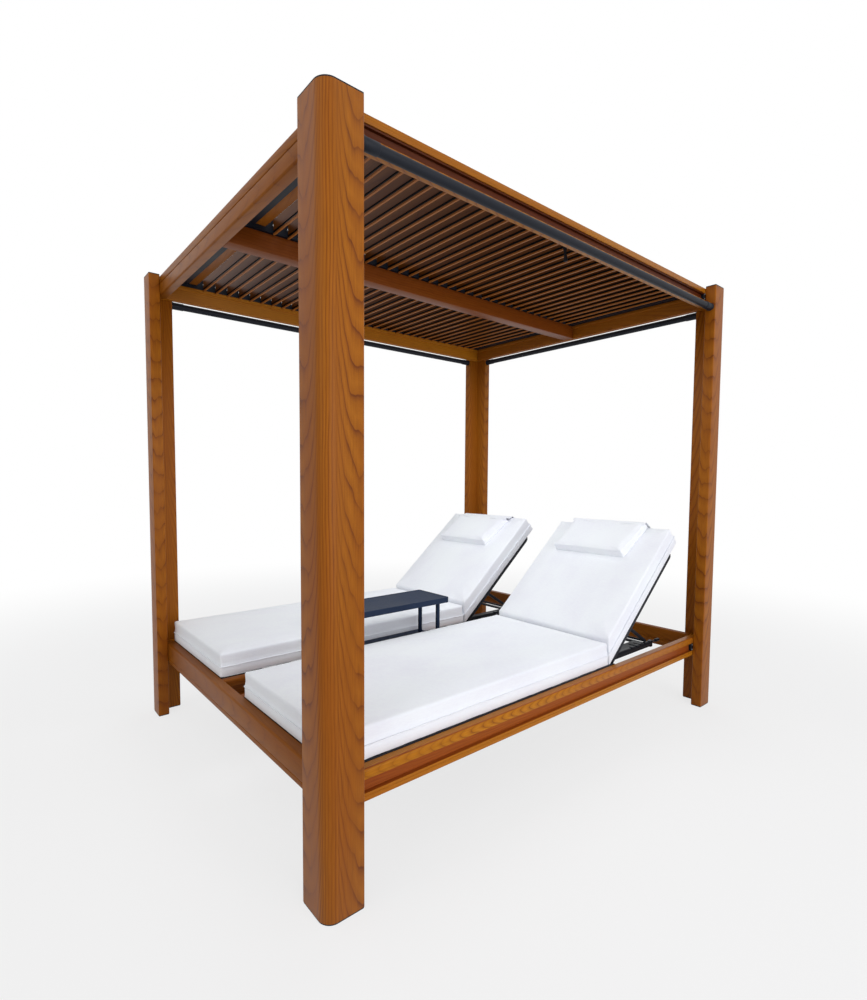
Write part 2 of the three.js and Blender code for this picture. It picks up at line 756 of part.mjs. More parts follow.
// Back frames: a bent tube with slats, turning on pins in the side bars. Local X runs up the back, local Z
// points out of its front, and the hinge is at the origin.
const backHalf = bayCentre - barOuter - deck.barThickness - back.sideClearance;
function backFrame() {
  const inner = backHalf - back.tube;
  const ring = outline([
    [-back.heel, -backHalf],
    [back.length, -backHalf, back.bendRadius, 6],
    [back.length, backHalf, back.bendRadius, 6],
    [-back.heel, backHalf],
    [-back.heel, inner],
    [back.length - back.tube, inner, back.innerBendRadius, 6],
    [back.length - back.tube, -inner, back.innerBendRadius, 6],
    [-back.heel, -inner],
  ]);
  const parts = [prismZ(ring, -back.tube / 2, back.tube / 2, back.tubeChamfer)];
  const front = back.tube / 2;
  const span = inner + fit.weld;
  const lastSlat = back.length - back.tube - back.slatWidth;
  for (let i = 0; i < back.slatCount; i++) {
    const s = back.firstSlat + (i * (lastSlat - back.firstSlat)) / back.slatCount;
    parts.push(box([s, -span, front - back.slatThickness], [s + back.slatWidth, span, front]));
  }
  const slatLow = front - back.slatThickness;
  const slatHalf = back.slatWidth / 2;
  parts.push(box([stay.pivotReach - slatHalf, -span, slatLow], [stay.pivotReach + slatHalf, span, front]));

  const hingePinFrom = backHalf - back.tube / 2;
  const hingePinTo = backHalf + back.sideClearance + deck.barThickness;
  const lugTo = armInner - stay.armClearance;
  const lugFrom = lugTo - stay.lugThickness;
  const lugHalf = stay.lugWidth / 2;
  const lugLow = -stay.pivotDrop - stay.armWidth / 2;
  for (const side of [-1, 1]) {
    const [pinStart, pinEnd] = [side * hingePinFrom, side * hingePinTo].sort((a, b) => a - b);
    const [lugStart, lugEnd] = [side * lugFrom, side * lugTo].sort((a, b) => a - b);
    const [stayPinStart, stayPinEnd] = [side * lugFrom, side * armOuter].sort((a, b) => a - b);
    const lugAt = [stay.pivotReach - lugHalf, lugStart, lugLow];
    const stayPin = cylinderY(stay.pinRadius, stayPinStart, stayPinEnd, stay.sides);
    parts.push(cylinderY(hinge.pinRadius, pinStart, pinEnd, hinge.pinSides));
    parts.push(box(lugAt, [stay.pivotReach + lugHalf, lugEnd, slatLow + fit.weld]));
    parts.push(stayPin.translate(stay.pivotReach, 0, -stay.pivotDrop));
  }
  return joinedGeometry(parts);
}

// Stays: two arms joined by a rod at the rack. Local X runs down the arm from its pivot.
const armOuter = bayCentre - rackInner - stay.armClearance;
const armInner = armOuter - stay.armThickness;
function stayGeometry() {
  const half = stay.armWidth / 2;
  const arm = outline([
    [-half, -half, half, 5],
    [stay.armLength + half, -half, half, 5],
    [stay.armLength + half, half, half, 5],
    [-half, half, half, 5],
  ]);
  const rackRod = cylinderY(stay.rodRadius, fit.weld - armOuter, armOuter - fit.weld, stay.sides);
  rackRod.translate(stay.armLength, 0, 0);
  const arms = joined([prismY(arm, armInner, armOuter), prismY(arm, -armOuter, -armInner), rackRod]);
  const eyeReach = armOuter + fit.overrun;
  const eye = cylinderY(stay.pinRadius + fit.seat, -eyeReach, eyeReach, stay.sides);
  return geometryOf(arms.subtract(solid(eye)));
}

// Cushions: a crowned top, rounded edges, sides drawn in above and below the seam
function cushionGeometry(form, length, width, steps) {
  const geometry = new THREE.BoxGeometry(1, 1, 1, steps.along, steps.across, 4);
  const points = geometry.attributes.position;
  const levelShares = [0, form.seamShare / 2, form.seamShare, (1 + form.seamShare) / 2, 1];
  const outward = [-form.sideDraw, -form.sideDraw / 2, form.seamProud, -form.sideDraw / 2, -form.sideDraw];
  const spread = (share, count, size) => {
    const step = Math.round((share + 0.5) * count);
    if (step === 0 || step === count) return (step ? size : -size) / 2;
    const inner = size / 2 - form.edge;
    return inner * ((2 * (step - 1)) / (count - 2) - 1);
  };
  for (let i = 0; i < points.count; i++) {
    const level = Math.round((points.getZ(i) + 0.5) * 4);
    let x = spread(points.getX(i), steps.along, length);
    let y = spread(points.getY(i), steps.across, width);
    const alongEdge = Math.abs(Math.abs(x) - length / 2) < form.edge / 2;
    const acrossEdge = Math.abs(Math.abs(y) - width / 2) < form.edge / 2;
    const cornerShare = 1 - Math.SQRT1_2;
    if (alongEdge && acrossEdge) {
      x -= Math.sign(x) * form.edge * cornerShare;
      y -= Math.sign(y) * form.edge * cornerShare;
    }
    const rise = (1 - (2 * x / length) ** 4) * (1 - (2 * y / width) ** 4);
    let z = form.height * levelShares[level];
    if (level === 4) z += form.crown * Math.max(0, rise);
    if (level === 4 && (alongEdge || acrossEdge)) z -= form.edge * cornerShare;
    if (alongEdge) x += Math.sign(x) * outward[level];
    if (acrossEdge) y += Math.sign(y) * outward[level];
    const slant = form.endSlant * slantShares[level];
    x += slant * (0.5 - x / length);
    points.setXYZ(i, x, y, z);
  }
  geometry.computeVertexNormals();
  return geometry;
}

const restAngle = radians(back.angle);
const pivotLevelAtRest = stay.pivotReach * Math.sin(restAngle) - stay.pivotDrop * Math.cos(restAngle);
const stayAngle = Math.asin((pivotLevelAtRest - stay.rodAboveHinge) / stay.armLength);
const seatWidth = 2 * (bayCentre - sideWallInner - seatCushion.sideInset);
const backWidth = 2 * (bayCentre - sideWallInner - backCushion.sideInset);
const seatFrom = endWallInner + seatCushion.fromRail;
const seatTo = hingeFrom - seatCushion.toHinge;
for (const [side, shift] of [["near", 0], ["far", farBayShift]]) {
  const bay = new THREE.Group();
  bay.position.set(0, bayCentre + shift, 0);
  model.add(bay);

  const seatGeometry = cushionGeometry(seatCushion, seatTo - seatFrom, seatWidth, { along: 16, across: 8 });
  const seat = addMesh(bay, "seat_cushion_" + side, seatGeometry, fabric);
  seat.position.set((seatFrom + seatTo) / 2, 0, deckTop + fit.seat);

  const backGroup = new THREE.Group();
  backGroup.position.set(hingeFrom, 0, hingeLevel);
  backGroup.rotation.y = -restAngle;
  bay.add(backGroup);
  addMesh(backGroup, "back_frame_" + side, backFrame(), blackMetal);

  const backLength = backCushion.end - backCushion.start;
  const cushionBase = back.tube / 2 + fit.seat;
  const pad = cushionGeometry(backCushion, backLength, backWidth, { along: 12, across: 8 });
  pad.translate(backCushion.start + backLength / 2, 0, cushionBase);
  const headRest = cushionGeometry(pillow, pillow.length, pillow.width, { along: 6, across: 8 });
  headRest.translate(
    backCushion.end - pillow.fromEnd - pillow.length / 2,
    0,
    cushionBase + backCushion.height - pillow.sink,
  );
  addMesh(backGroup, "back_cushion_" + side, joinedGeometry([pad, headRest]), fabric);

  const stayMesh = addMesh(backGroup, "back_stay_" + side, stayGeometry(), blackMetal);
  stayMesh.position.set(stay.pivotReach, 0, -stay.pivotDrop);
  stayMesh.rotation.y = restAngle + stayAngle;
}

// Table: a slab top with a sunk panel on four legs, on a base slab that rests on the two inner rails
function tableGeometry() {
  const slab = rectangle(0, -table.width / 2, table.length, table.width / 2, table.cornerRadius, 4);
  const legHigh = table.height - table.slab + fit.weld;
  const parts = [prismZ(slab, 0, table.slab), prismZ(slab, table.height - table.slab, table.height)];
  const legReach = table.width / 2 - table.legSideInset;
  for (const x of [table.legEndInset, table.length - table.legEndInset - table.legSize]) {
    for (const y of [-legReach, legReach - table.legSize]) {
      parts.push(box([x, y, table.slab - fit.weld], [x + table.legSize, y + table.legSize, legHigh]));
    }
  }
  const inset = table.panelInset;
  const panel = box(
    [inset, inset - table.width / 2, table.height - table.panelDepth],
    [table.length - inset, table.width / 2 - inset, table.height + fit.overrun],
  );
  return geometryOf(joined(parts).subtract(solid(panel)));
}
const sideTable = addMesh(model, "side_table", tableGeometry(), tableMetal);
sideTable.position.set(table.fromFoot, middle, bed.top + fit.seat);

model.position.set(-footprint.length / 2, -footprint.width / 2, 0);

export default root;
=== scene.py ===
import json
import math

import bmesh
import bpy
from mathutils import Matrix, Vector, noise


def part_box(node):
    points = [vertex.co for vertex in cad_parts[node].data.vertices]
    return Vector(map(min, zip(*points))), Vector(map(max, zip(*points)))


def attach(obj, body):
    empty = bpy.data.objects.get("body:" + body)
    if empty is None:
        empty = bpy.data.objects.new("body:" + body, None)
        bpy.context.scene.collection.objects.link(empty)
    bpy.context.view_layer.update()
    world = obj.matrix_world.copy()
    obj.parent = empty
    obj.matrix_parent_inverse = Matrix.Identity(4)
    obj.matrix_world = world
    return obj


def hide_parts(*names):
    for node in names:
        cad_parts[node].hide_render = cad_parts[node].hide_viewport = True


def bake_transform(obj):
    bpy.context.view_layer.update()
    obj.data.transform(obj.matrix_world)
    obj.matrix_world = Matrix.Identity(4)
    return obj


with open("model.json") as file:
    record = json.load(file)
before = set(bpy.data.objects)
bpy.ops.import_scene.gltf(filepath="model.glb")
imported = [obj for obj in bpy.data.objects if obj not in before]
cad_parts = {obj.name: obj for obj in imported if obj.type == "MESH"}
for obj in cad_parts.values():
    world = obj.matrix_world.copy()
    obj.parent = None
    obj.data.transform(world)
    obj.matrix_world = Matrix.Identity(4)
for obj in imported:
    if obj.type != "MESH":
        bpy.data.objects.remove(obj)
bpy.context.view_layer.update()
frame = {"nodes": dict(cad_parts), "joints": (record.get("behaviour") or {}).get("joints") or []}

scene = bpy.context.scene
print("frame loaded")

# places that several pieces share, read from the frame, in metres
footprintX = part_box("post_near_head")[1].x  # outer face of the posts at the head
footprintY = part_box("post_far_foot")[1].y  # outer face of the posts on the far side
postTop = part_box("post_near_foot")[1].z
jointPlace = {joint["name"]: Vector(joint["pos_m"]) for joint in frame["joints"] if "pos_m" in joint}
sides = ("near", "far")
hingePlace = {side: jointPlace[f"back_{side}_recline"] for side in sides}
stayPlace = {side: jointPlace[f"stay_{side}_fold"] for side in sides}
bayCentre = {side: hingePlace[side].y for side in sides}


# camera and light

cameraView = {
    "place": (-1.88995, -2.07532, 1.20154),
    "yaw": 51.4093,
    "pitch": -3.3945,
    "roll": 0.2125,
    "lens": 19.3675,
    "shiftX": 0.02992,
    "shiftY": 0.01077,
}
lighting = {
    "skyStrength": 0.52,
    "skyColour": (0.97, 0.985, 1.0, 1),
    "floorColour": (0.7, 0.7, 0.705, 1),
    "floorWhiteShares": (0.74, 1.0),  # how plain white the camera sees the floor, near and far
    "floorFade": (2.0, 5.5),  # distances from the middle where the near share ends and the far one starts
    "floorSize": 60.0,
}
lamps = {  # place, aim, size, power, colour
    "windowLight": ((-0.7, -6.0, 1.6), (-0.3, 0.0, 1.0), 4.5, 192.0, (0.985, 0.965, 1.0)),
    "footLight": ((-6.0, -1.5, 4.0), (0.0, 0.0, 0.9), 4.5, 62.0, (1.0, 0.94, 0.87)),
    "headLight": ((5.5, 4.0, 4.2), (0.0, 0.0, 1.0), 5.0, 60.0, (0.96, 0.98, 1.0)),
    "roofFill": ((0.1, 0.0, 2.03), (0.1, 0.0, 0.0), 1.2, 10.5, (0.94, 0.98, 1.0)),
}
black, white = (0, 0, 0, 1), (1, 1, 1, 1)


def newObject(name, data):
    thing = bpy.data.objects.new(name, data)
    scene.collection.objects.link(thing)
    return thing


def makeCamera():
    yaw, pitch, roll = (math.radians(cameraView[key]) for key in ("yaw", "pitch", "roll"))
    forward = Vector((math.cos(yaw) * math.cos(pitch), math.sin(yaw) * math.cos(pitch), math.sin(pitch)))
    level = Vector((math.sin(yaw), -math.cos(yaw), 0))
    upright = level.cross(forward)
    right = level * math.cos(roll) + upright * math.sin(roll)
    up = upright * math.cos(roll) - level * math.sin(roll)
    data = bpy.data.cameras.new("camera")
    data.lens = cameraView["lens"]
    data.shift_x = cameraView["shiftX"]
    data.shift_y = cameraView["shiftY"]
    scene.camera = newObject("camera", data)
    turn = Matrix((right, up, -forward)).transposed().to_4x4()
    scene.camera.matrix_world = Matrix.Translation(cameraView["place"]) @ turn


def feed(tree, node, socket, value):
    # a node stands for its first output
    if isinstance(value, bpy.types.Node):
        value = value.outputs[0]
    if isinstance(value, bpy.types.NodeSocket):
        tree.links.new(value, node.inputs[socket])
    else:
        node.inputs[socket].default_value = value


def addNode(tree, kind, feeds=(), **settings):
    node = tree.nodes.new(kind)
    for key, value in settings.items():
        setattr(node, key, value)
    for socket, value in dict(feeds).items():
        feed(tree, node, socket, value)
    return node


def combine(tree, operation, *values):
    return addNode(tree, "ShaderNodeMath", enumerate(values), operation=operation).outputs[0]


def emptyTree(owner):
    owner.use_nodes = True
    owner.node_tree.nodes.clear()
    return owner.node_tree


def objectPlace(tree):
    return addNode(tree, "ShaderNodeTexCoord").outputs["Object"]


def seenDirectly(tree):
    path = addNode(tree, "ShaderNodeLightPath").outputs
    seen = combine(tree, "ADD", path["Is Camera Ray"], path["Is Glossy Ray"])
    return combine(tree, "MINIMUM", combine(tree, "ADD", seen, path["Is Transmission Ray"]), 1.0)


def makeSky():
    scene.world = bpy.data.worlds.new("sky")
    tree = emptyTree(scene.world)
    lit = addNode(tree, "ShaderNodeBackground",
                  {"Color": lighting["skyColour"], "Strength": lighting["skyStrength"]})
    plain = addNode(tree, "ShaderNodeBackground", {"Color": white, "Strength": 1.0})
    mix = addNode(tree, "ShaderNodeMixShader", {0: seenDirectly(tree), 1: lit, 2: plain})
    addNode(tree, "ShaderNodeOutputWorld", {0: mix})


def makeFloor():
    half = lighting["floorSize"] / 2
    mesh = bpy.data.meshes.new("floor")
    corners = [(-half, -half, 0), (half, -half, 0), (half, half, 0), (-half, half, 0)]
    mesh.from_pydata(corners, [], [(0, 1, 2, 3)])
    material = bpy.data.materials.new("studioFloor")
    tree = emptyTree(material)
    matt = addNode(tree, "ShaderNodeBsdfDiffuse", {"Color": lighting["floorColour"]})
    plain = addNode(tree, "ShaderNodeEmission", {"Strength": 1.0})
    away = addNode(tree, "ShaderNodeVectorMath", {0: objectPlace(tree)}, operation="LENGTH").outputs["Value"]
    (near, far), (least, most) = lighting["floorFade"], lighting["floorWhiteShares"]
    fade = addNode(tree, "ShaderNodeMapRange", {
        "Value": away, "From Min": near, "From Max": far, "To Min": least, "To Max": most,
    }, interpolation_type="SMOOTHSTEP")
    share = combine(tree, "MULTIPLY", seenDirectly(tree), fade)
    mix = addNode(tree, "ShaderNodeMixShader", {0: share, 1: matt, 2: plain})
    addNode(tree, "ShaderNodeOutputMaterial", {0: mix})
    mesh.materials.append(material)
    newObject("floor", mesh)


def makeLamps():
    for name, (place, aim, size, power, colour) in lamps.items():
        data = bpy.data.lights.new(name, "AREA")
        data.size = size
        data.energy = power
        data.color = colour
        lamp = newObject(name, data)
        lamp.location = place
        lamp.rotation_euler = (Vector(aim) - Vector(place)).to_track_quat("-Z", "Y").to_euler()
        lamp.visible_camera = False


makeCamera()
makeSky()
makeFloor()
makeLamps()
scene.view_settings.view_transform = "Standard"
print("camera and light set")


# finishes

def linear(*levels):
    # levels of red, green and blue from 0 to 255, as a screen shows them
    shares = [level / 255 for level in levels]
    return (*(((s + 0.055) / 1.055) ** 2.4 if s > 0.04045 else s / 12.92 for s in shares), 1)


woodLook = {
    "line": linear(88, 38, 14),
    "lineEdge": linear(118, 62, 16),
    "ground": linear(149, 86, 16),
    "bright": linear(166, 100, 22),
    "warm": linear(137, 70, 18),
    "warmShare": 0.5,
    "showSpan": (0.38, 0.62),  # noise levels between which the lines and the warm tint come up
    "warmSpan": (0.35, 0.7),
    "wander": 1.6,  # how far noise moves the lines, in lines
    "drift": 0.03,  # how far it moves the middle of a figure, in metres
    "memberShift": {"x": 0.43, "y": 0.77},  # how far the grain moves along on either side of the object
    "straightShares": (0.62, 0.8),  # shares of the half board where straight grain takes over
    "leastShow": 0.4,  # share of the contrast that the lines never lose
    "fibreTints": [(0.3, (0.8, 0.78, 0.75, 1)), (0.6, (1.04, 1.04, 1.04, 1))],
    "knotTints": [(0.0, (0.25, 0.2, 0.2, 1)), (0.016, white)],
    "roughness": 0.35,
    "roughnessSpread": 0.14,
    "specular": 0.12,
    "bump": 0.12,
    "bumpDepth": 0.0006,
}
grainScales = {  # noise along and across the grain, its depth, detail and roughness
    "drift": (1.1, 2.0, 3.0, 1.0, 0.5),
    "waves": (3.6, 17.0, 0.0, 2.0, 0.5),
    "strength": (1.3, 26.0, 7.0, 1.0, 0.5),
    "broad": (0.8, 9.0, 11.0, 2.0, 0.5),
    "fibre": (9.0, 420.0, 0.0, 3.0, 0.6),
}
knotScale = (3.2, 5.0, 2.0)
# flame figures: distance between their middles, shift of the middles, arches for each metre of length, how
# fast the arches bend (with the square and the fourth power of the distance), straight lines for each metre
# between the figures, how strongly the lines show, and a tint; the dark tints of the louvres and the sunk
# strips are painted shade
figures = {
    "post": (0.218, 0.021, 11.0, 300.0, 29000.0, 85.0, 0.8, (1.0, 1.0, 1.0)),
    "sideRail": (0.1757, -0.0424, 20.0, 2200.0, 0.0, 110.0, 0.8, (1.44, 1.66, 1.3)),
    "sideBeam": (0.1757, -0.0424, 20.0, 2200.0, 0.0, 110.0, 0.8, (1.22, 1.42, 1.25)),
    "endRail": (0.18, -0.0753, 8.0, 600.0, 9000.0, 85.0, 0.42, (0.9, 0.92, 0.95)),
    "innerRail": (0.17, 0.03, 9.0, 600.0, 0.0, 85.0, 0.6, (0.8, 0.74, 0.9)),
    "centreBeam": (0.2, 0.011, 4.0, 500.0, 0.0, 85.0, 0.4, (0.66, 0.54, 0.8)),
    # the louvres' dark tint is painted shade under the roof
    "louvre": (0.17, 0.0, 4.0, 600.0, 0.0, 110.0, 0.5, (0.37, 0.35, 0.36)),
    # the sunk strips' tints are painted shade in the recess, darkest on the roof beams
    "bedStripShade": (0.3, 0.1, 6.0, 400.0, 0.0, 90.0, 0.5, (1.05, 0.82, 1.55)),
    "roofStripShade": (0.3, 0.1, 6.0, 400.0, 0.0, 90.0, 0.4, (0.3, 0.2, 0.55)),
}


def newMaterial(name):
    material = bpy.data.materials.new(name)
    tree = emptyTree(material)
    shader = addNode(tree, "ShaderNodeBsdfPrincipled")
    addNode(tree, "ShaderNodeOutputMaterial", {0: shader})
    return material, tree, shader


def noiseAt(tree, vector, detail, roughness=0.5):
    values = {"Vector": vector, "Scale": 1.0, "Detail": detail, "Roughness": roughness}
    return addNode(tree, "ShaderNodeTexNoise", values, noise_dimensions="3D").outputs["Fac"]


def scaled(tree, place, scale):
    return addNode(tree, "ShaderNodeMapping", {0: place, "Scale": scale}).outputs[0]


def ramp(tree, factor, stops):
    node = addNode(tree, "ShaderNodeValToRGB", {0: factor})
    band = node.color_ramp
    band.elements[0].position, band.elements[0].color = stops[0]
    band.elements[1].position, band.elements[1].color = stops[-1]
    for position, colour in stops[1:-1]:
        band.elements.new(position).color = colour
    return node.outputs[0]


def mixColours(tree, factor, first, second, mode="MIX"):
    values = {0: factor, 6: first, 7: second}
    return addNode(tree, "ShaderNodeMix", values, data_type="RGBA", blend_type=mode).outputs[2]


def finishShader(tree, shader, height, bump, bumpDepth, feeds):
    for socket, value in feeds.items():
        feed(tree, shader, socket, value)
    relief = addNode(tree, "ShaderNodeBump", {"Strength": bump, "Distance": bumpDepth, "Height": height})
    feed(tree, shader, "Normal", relief)


def woodFinish(name, along, wrap, figure):
    # along: axis of the grain. wrap: what each axis adds to the distance round the member; X and Y stand for
    # the distances |x| and |y|
    look = woodLook
    board, shift, flames, bend, steepBend, straightLines, contrast, tone = figures[figure]
    material, tree, shader = newMaterial(name)
    axes = dict(zip("xyz", addNode(tree, "ShaderNodeSeparateXYZ", {0: objectPlace(tree)}).outputs))
    span = shift
    for key, amount in wrap.items():
        value = combine(tree, "ABSOLUTE", axes[key.lower()]) if key.isupper() else axes[key]
        span = combine(tree, "MULTIPLY_ADD", value, amount, span)
    length = axes[along]
    for key, amount in look["memberShift"].items():
        length = combine(tree, "MULTIPLY_ADD", combine(tree, "SIGN", axes[key]), amount, length)

    def stretched(alongScale, acrossScale, depth):
        return addNode(tree, "ShaderNodeCombineXYZ", {
            0: combine(tree, "MULTIPLY", length, alongScale),
            1: combine(tree, "MULTIPLY", span, acrossScale),
            2: depth,
        }).outputs[0]

    def grain(key):
        *scales, detail, roughness = grainScales[key]
        return noiseAt(tree, stretched(*scales), detail, roughness)

    def fade(value, low, high):
        return ramp(tree, value, [(low, black), (high, white)])

    drift = combine(tree, "SUBTRACT", grain("drift"), 0.5)
    centred = combine(tree, "MULTIPLY_ADD", drift, look["drift"], span)
    away = combine(tree, "PINGPONG", centred, board / 2)
    squared = combine(tree, "MULTIPLY", away, away)
    waves = combine(tree, "MULTIPLY", grain("waves"), look["wander"])
    rings = combine(tree, "MULTIPLY_ADD", squared, -steepBend, -bend)
    rings = combine(tree, "MULTIPLY_ADD", squared, rings, waves)
    rings = combine(tree, "MULTIPLY_ADD", length, flames, rings)
    straight = combine(tree, "MULTIPLY_ADD", centred, straightLines, waves)
    stops = [
        (0.0, look["lineEdge"]), (0.04, look["ground"]), (0.4, look["bright"]),
        (0.76, look["ground"]), (0.92, look["lineEdge"]), (0.97, look["line"]),
    ]
    flamed, plain = (ramp(tree, combine(tree, "FRACT", value), stops) for value in (rings, straight))
    between = fade(combine(tree, "DIVIDE", away, board / 2), *look["straightShares"])
    tint = mixColours(tree, between, flamed, plain)
    least = look["leastShow"] * contrast
    show = combine(tree, "MULTIPLY_ADD", fade(grain("strength"), *look["showSpan"]), contrast - least, least)
    tint = mixColours(tree, show, look["ground"], tint)
    broad = combine(tree, "MULTIPLY", fade(grain("broad"), *look["warmSpan"]), look["warmShare"])
    tint = mixColours(tree, broad, tint, look["warm"])
    fibre = grain("fibre")
    knots = addNode(tree, "ShaderNodeTexVoronoi", {"Vector": stretched(*knotScale), "Scale": 1.0})
    streak = ramp(tree, fibre, look["fibreTints"])
    spot = ramp(tree, knots.outputs["Distance"], look["knotTints"])
    for layer in (streak, spot, (*tone, 1)):
        tint = mixColours(tree, 1.0, tint, layer, "MULTIPLY")
    if figure == "louvre":
        tint = bladeBandAndHighlight(tree, tint, axes)
    finishShader(tree, shader, fibre, look["bump"], look["bumpDepth"], {
        "Base Color": tint,
        "Roughness": combine(tree, "MULTIPLY_ADD", fibre, look["roughnessSpread"], look["roughness"]),
        "Specular IOR Level": look["specular"],
    })
    return material


# the lip colour is a painted highlight on the lower edge of the darkened blades; the near-black band lies
# over the groove
bladeMarks = {
    "lipTop": 2.1651, "lip": linear(176, 106, 44), "lipHighlightShare": 0.75,
    "darkBandTop": 2.1757, "darkBand": linear(14, 11, 9),
}


def bladeBandAndHighlight(tree, tint, axes):
    # a near-black band over the groove on one side of each blade, and below it a lighter lip: a painted
    # highlight on the blade's lower edge
    marks, first = bladeMarks, jointPlace["louvre_01_turn"].x
    pitch = jointPlace["louvre_02_turn"].x - first
    offset = combine(tree, "DIVIDE", combine(tree, "SUBTRACT", axes["x"], first), pitch)
    offset = combine(tree, "SUBTRACT", combine(tree, "FRACT", combine(tree, "ADD", offset, 0.5)), 0.5)
    darkBand = combine(tree, "MULTIPLY", combine(tree, "LESS_THAN", offset, 0.0),
                   combine(tree, "LESS_THAN", axes["z"], marks["darkBandTop"]))
    tint = mixColours(tree, darkBand, tint, marks["darkBand"])
    lip = combine(tree, "LESS_THAN", axes["z"], marks["lipTop"])
    return mixColours(tree, combine(tree, "MULTIPLY", lip, marks["lipHighlightShare"]), tint, marks["lip"])


paintLook = {
    "mottle": 0.12, "mottleSpan": (0.38, 0.62), "cloudScale": 7.0,
    "roughnessSpread": 0.16, "bumpDepth": 0.0005,
}


def paintFinish(name, colour, roughness, grainScale, bump, specular):
    look = paintLook
    material, tree, shader = newMaterial(name)
    place = objectPlace(tree)
    grain = noiseAt(tree, scaled(tree, place, (grainScale,) * 3), 2.0)
    cloud = noiseAt(tree, scaled(tree, place, (look["cloudScale"],) * 3), 3.0)
    darker, lighter = ((*(c * (1 + sign * look["mottle"]) for c in colour[:3]), 1) for sign in (-1, 1))
    blend = combine(tree, "MULTIPLY_ADD", grain, 0.5, combine(tree, "MULTIPLY", cloud, 0.5))
    spread, (low, high) = look["roughnessSpread"], look["mottleSpan"]
    finishShader(tree, shader, grain, bump, look["bumpDepth"], {
        "Base Color": ramp(tree, blend, [(low, darker), (high, lighter)]),
        "Roughness": combine(tree, "MULTIPLY_ADD", cloud, spread, roughness - spread / 2),
        "Specular IOR Level": specular,
    })
    return material


clothLook = {
    "colour": linear(247, 251, 255),
    "shade": linear(240, 242, 250),
    "shadeSpan": (0.3, 0.6),
    "threads": {"Scale": 45.0, "Distortion": 0.6, "Detail": 1.0},
    "slubScale": (60.0, 60.0, 240.0),
    "foldScale": (3.0, 5.0, 5.0),
    "foldShare": 0.65,
    "threadHeight": 0.12,
    "foldHeight": 3.0,
    "bump": 0.35,
    "bumpDepth": 0.0012,
    "shader": {"Roughness": 0.88, "Specular IOR Level": 0.25, "Sheen Weight": 0.25, "Sheen Roughness": 0.5},
}


def clothFinish(name):
    look = clothLook
    material, tree, shader = newMaterial(name)
    place = objectPlace(tree)
    waves = [addNode(tree, "ShaderNodeTexWave", {
        "Vector": place, **look["threads"],
    }, wave_type="BANDS", bands_direction=axis).outputs["Fac"] for axis in "XYZ"]
    weave = combine(tree, "ADD", combine(tree, "ADD", *waves[:2]), waves[2])
    threads = noiseAt(tree, scaled(tree, place, look["slubScale"]), 3.0)
    folds = noiseAt(tree, scaled(tree, place, look["foldScale"]), 2.0)
    share = look["foldShare"]
    blend = combine(tree, "MULTIPLY_ADD", threads, 1 - share, combine(tree, "MULTIPLY", folds, share))
    height = combine(tree, "MULTIPLY_ADD", weave, look["threadHeight"],
                     combine(tree, "MULTIPLY", folds, look["foldHeight"]))
    low, high = look["shadeSpan"]
    tint = ramp(tree, blend, [(low, look["shade"]), (high, look["colour"])])
    feeds = {"Base Color": tint, **look["shader"]}
    finishShader(tree, shader, height, look["bump"], look["bumpDepth"], feeds)
    return material


outside = {"Y": -1.0, "z": 1.0}
postWood = woodFinish("woodPost", "z", {"X": 1.0, "Y": -1.0}, "post")
sideRailWood = woodFinish("woodSideRail", "x", outside, "sideRail")
sideBeamWood = woodFinish("woodSideBeam", "x", outside, "sideBeam")
endWood = woodFinish("woodEndRail", "y", {"X": -1.0, "z": 1.0}, "endRail")
innerWood = woodFinish("woodInnerRail", "x", {"Y": 1.0, "z": 1.0}, "innerRail")
centreWood = woodFinish("woodCentreBeam", "x", {"y": 1.0, "z": 1.0}, "centreBeam")
# the louvre finish is darkened all over: painted shade under the roof
shadedLouvreWood = woodFinish("woodLouvreShaded", "y", {"x": 7.3, "z": 1.0}, "louvre")
# the sunk strips get darker finishes: painted shade in the recess
shadedBedStripWood = woodFinish("woodBedStripShade", "x", outside, "bedStripShade")
shadedRoofStripWood = woodFinish("woodRoofStripShade", "x", outside, "roofStripShade")
blackPaint = paintFinish("blackPowderCoat", linear(20, 24, 33), 0.5, 900.0, 0.15, 0.2)
slatePaint = paintFinish("slatePowderCoat", linear(36, 47, 68), 0.6, 1100.0, 0.35, 0.07)
steelScrew = paintFinish("screwSteel", linear(150, 150, 152), 0.3, 1500.0, 0.1, 0.5)
whiteCloth = clothFinish("whiteCloth")
print("finishes made")


# tools for mesh pieces

def outlinePoints(corners):
    # corners are (a, b) or (a, b, radius, steps)
    points = []
    for index, corner in enumerate(corners):
        here = Vector(corner[:2])
        if len(corner) == 2:
            points.append(here)
            continue
        radius, steps = corner[2:]
        before = (Vector(corners[index - 1][:2]) - here).normalized()
        after = (Vector(corners[(index + 1) % len(corners)][:2]) - here).normalized()
        half = before.angle(after) / 2
        centre = here + (before + after).normalized() * (radius / math.sin(half))
        start = here + before * (radius / math.tan(half)) - centre
        turn = math.copysign(math.pi - 2 * half, before.x * after.y - before.y * after.x)
        for step in range(steps + 1):
            points.append(centre + Matrix.Rotation(-turn * step / steps, 2) @ start)
    return points


def roundedBox(lowA, lowB, highA, highB, radius, steps):
    corners = ((lowA, lowB), (highA, lowB), (highA, highB), (lowA, highB))
    return outlinePoints([(*corner, radius, steps) for corner in corners])


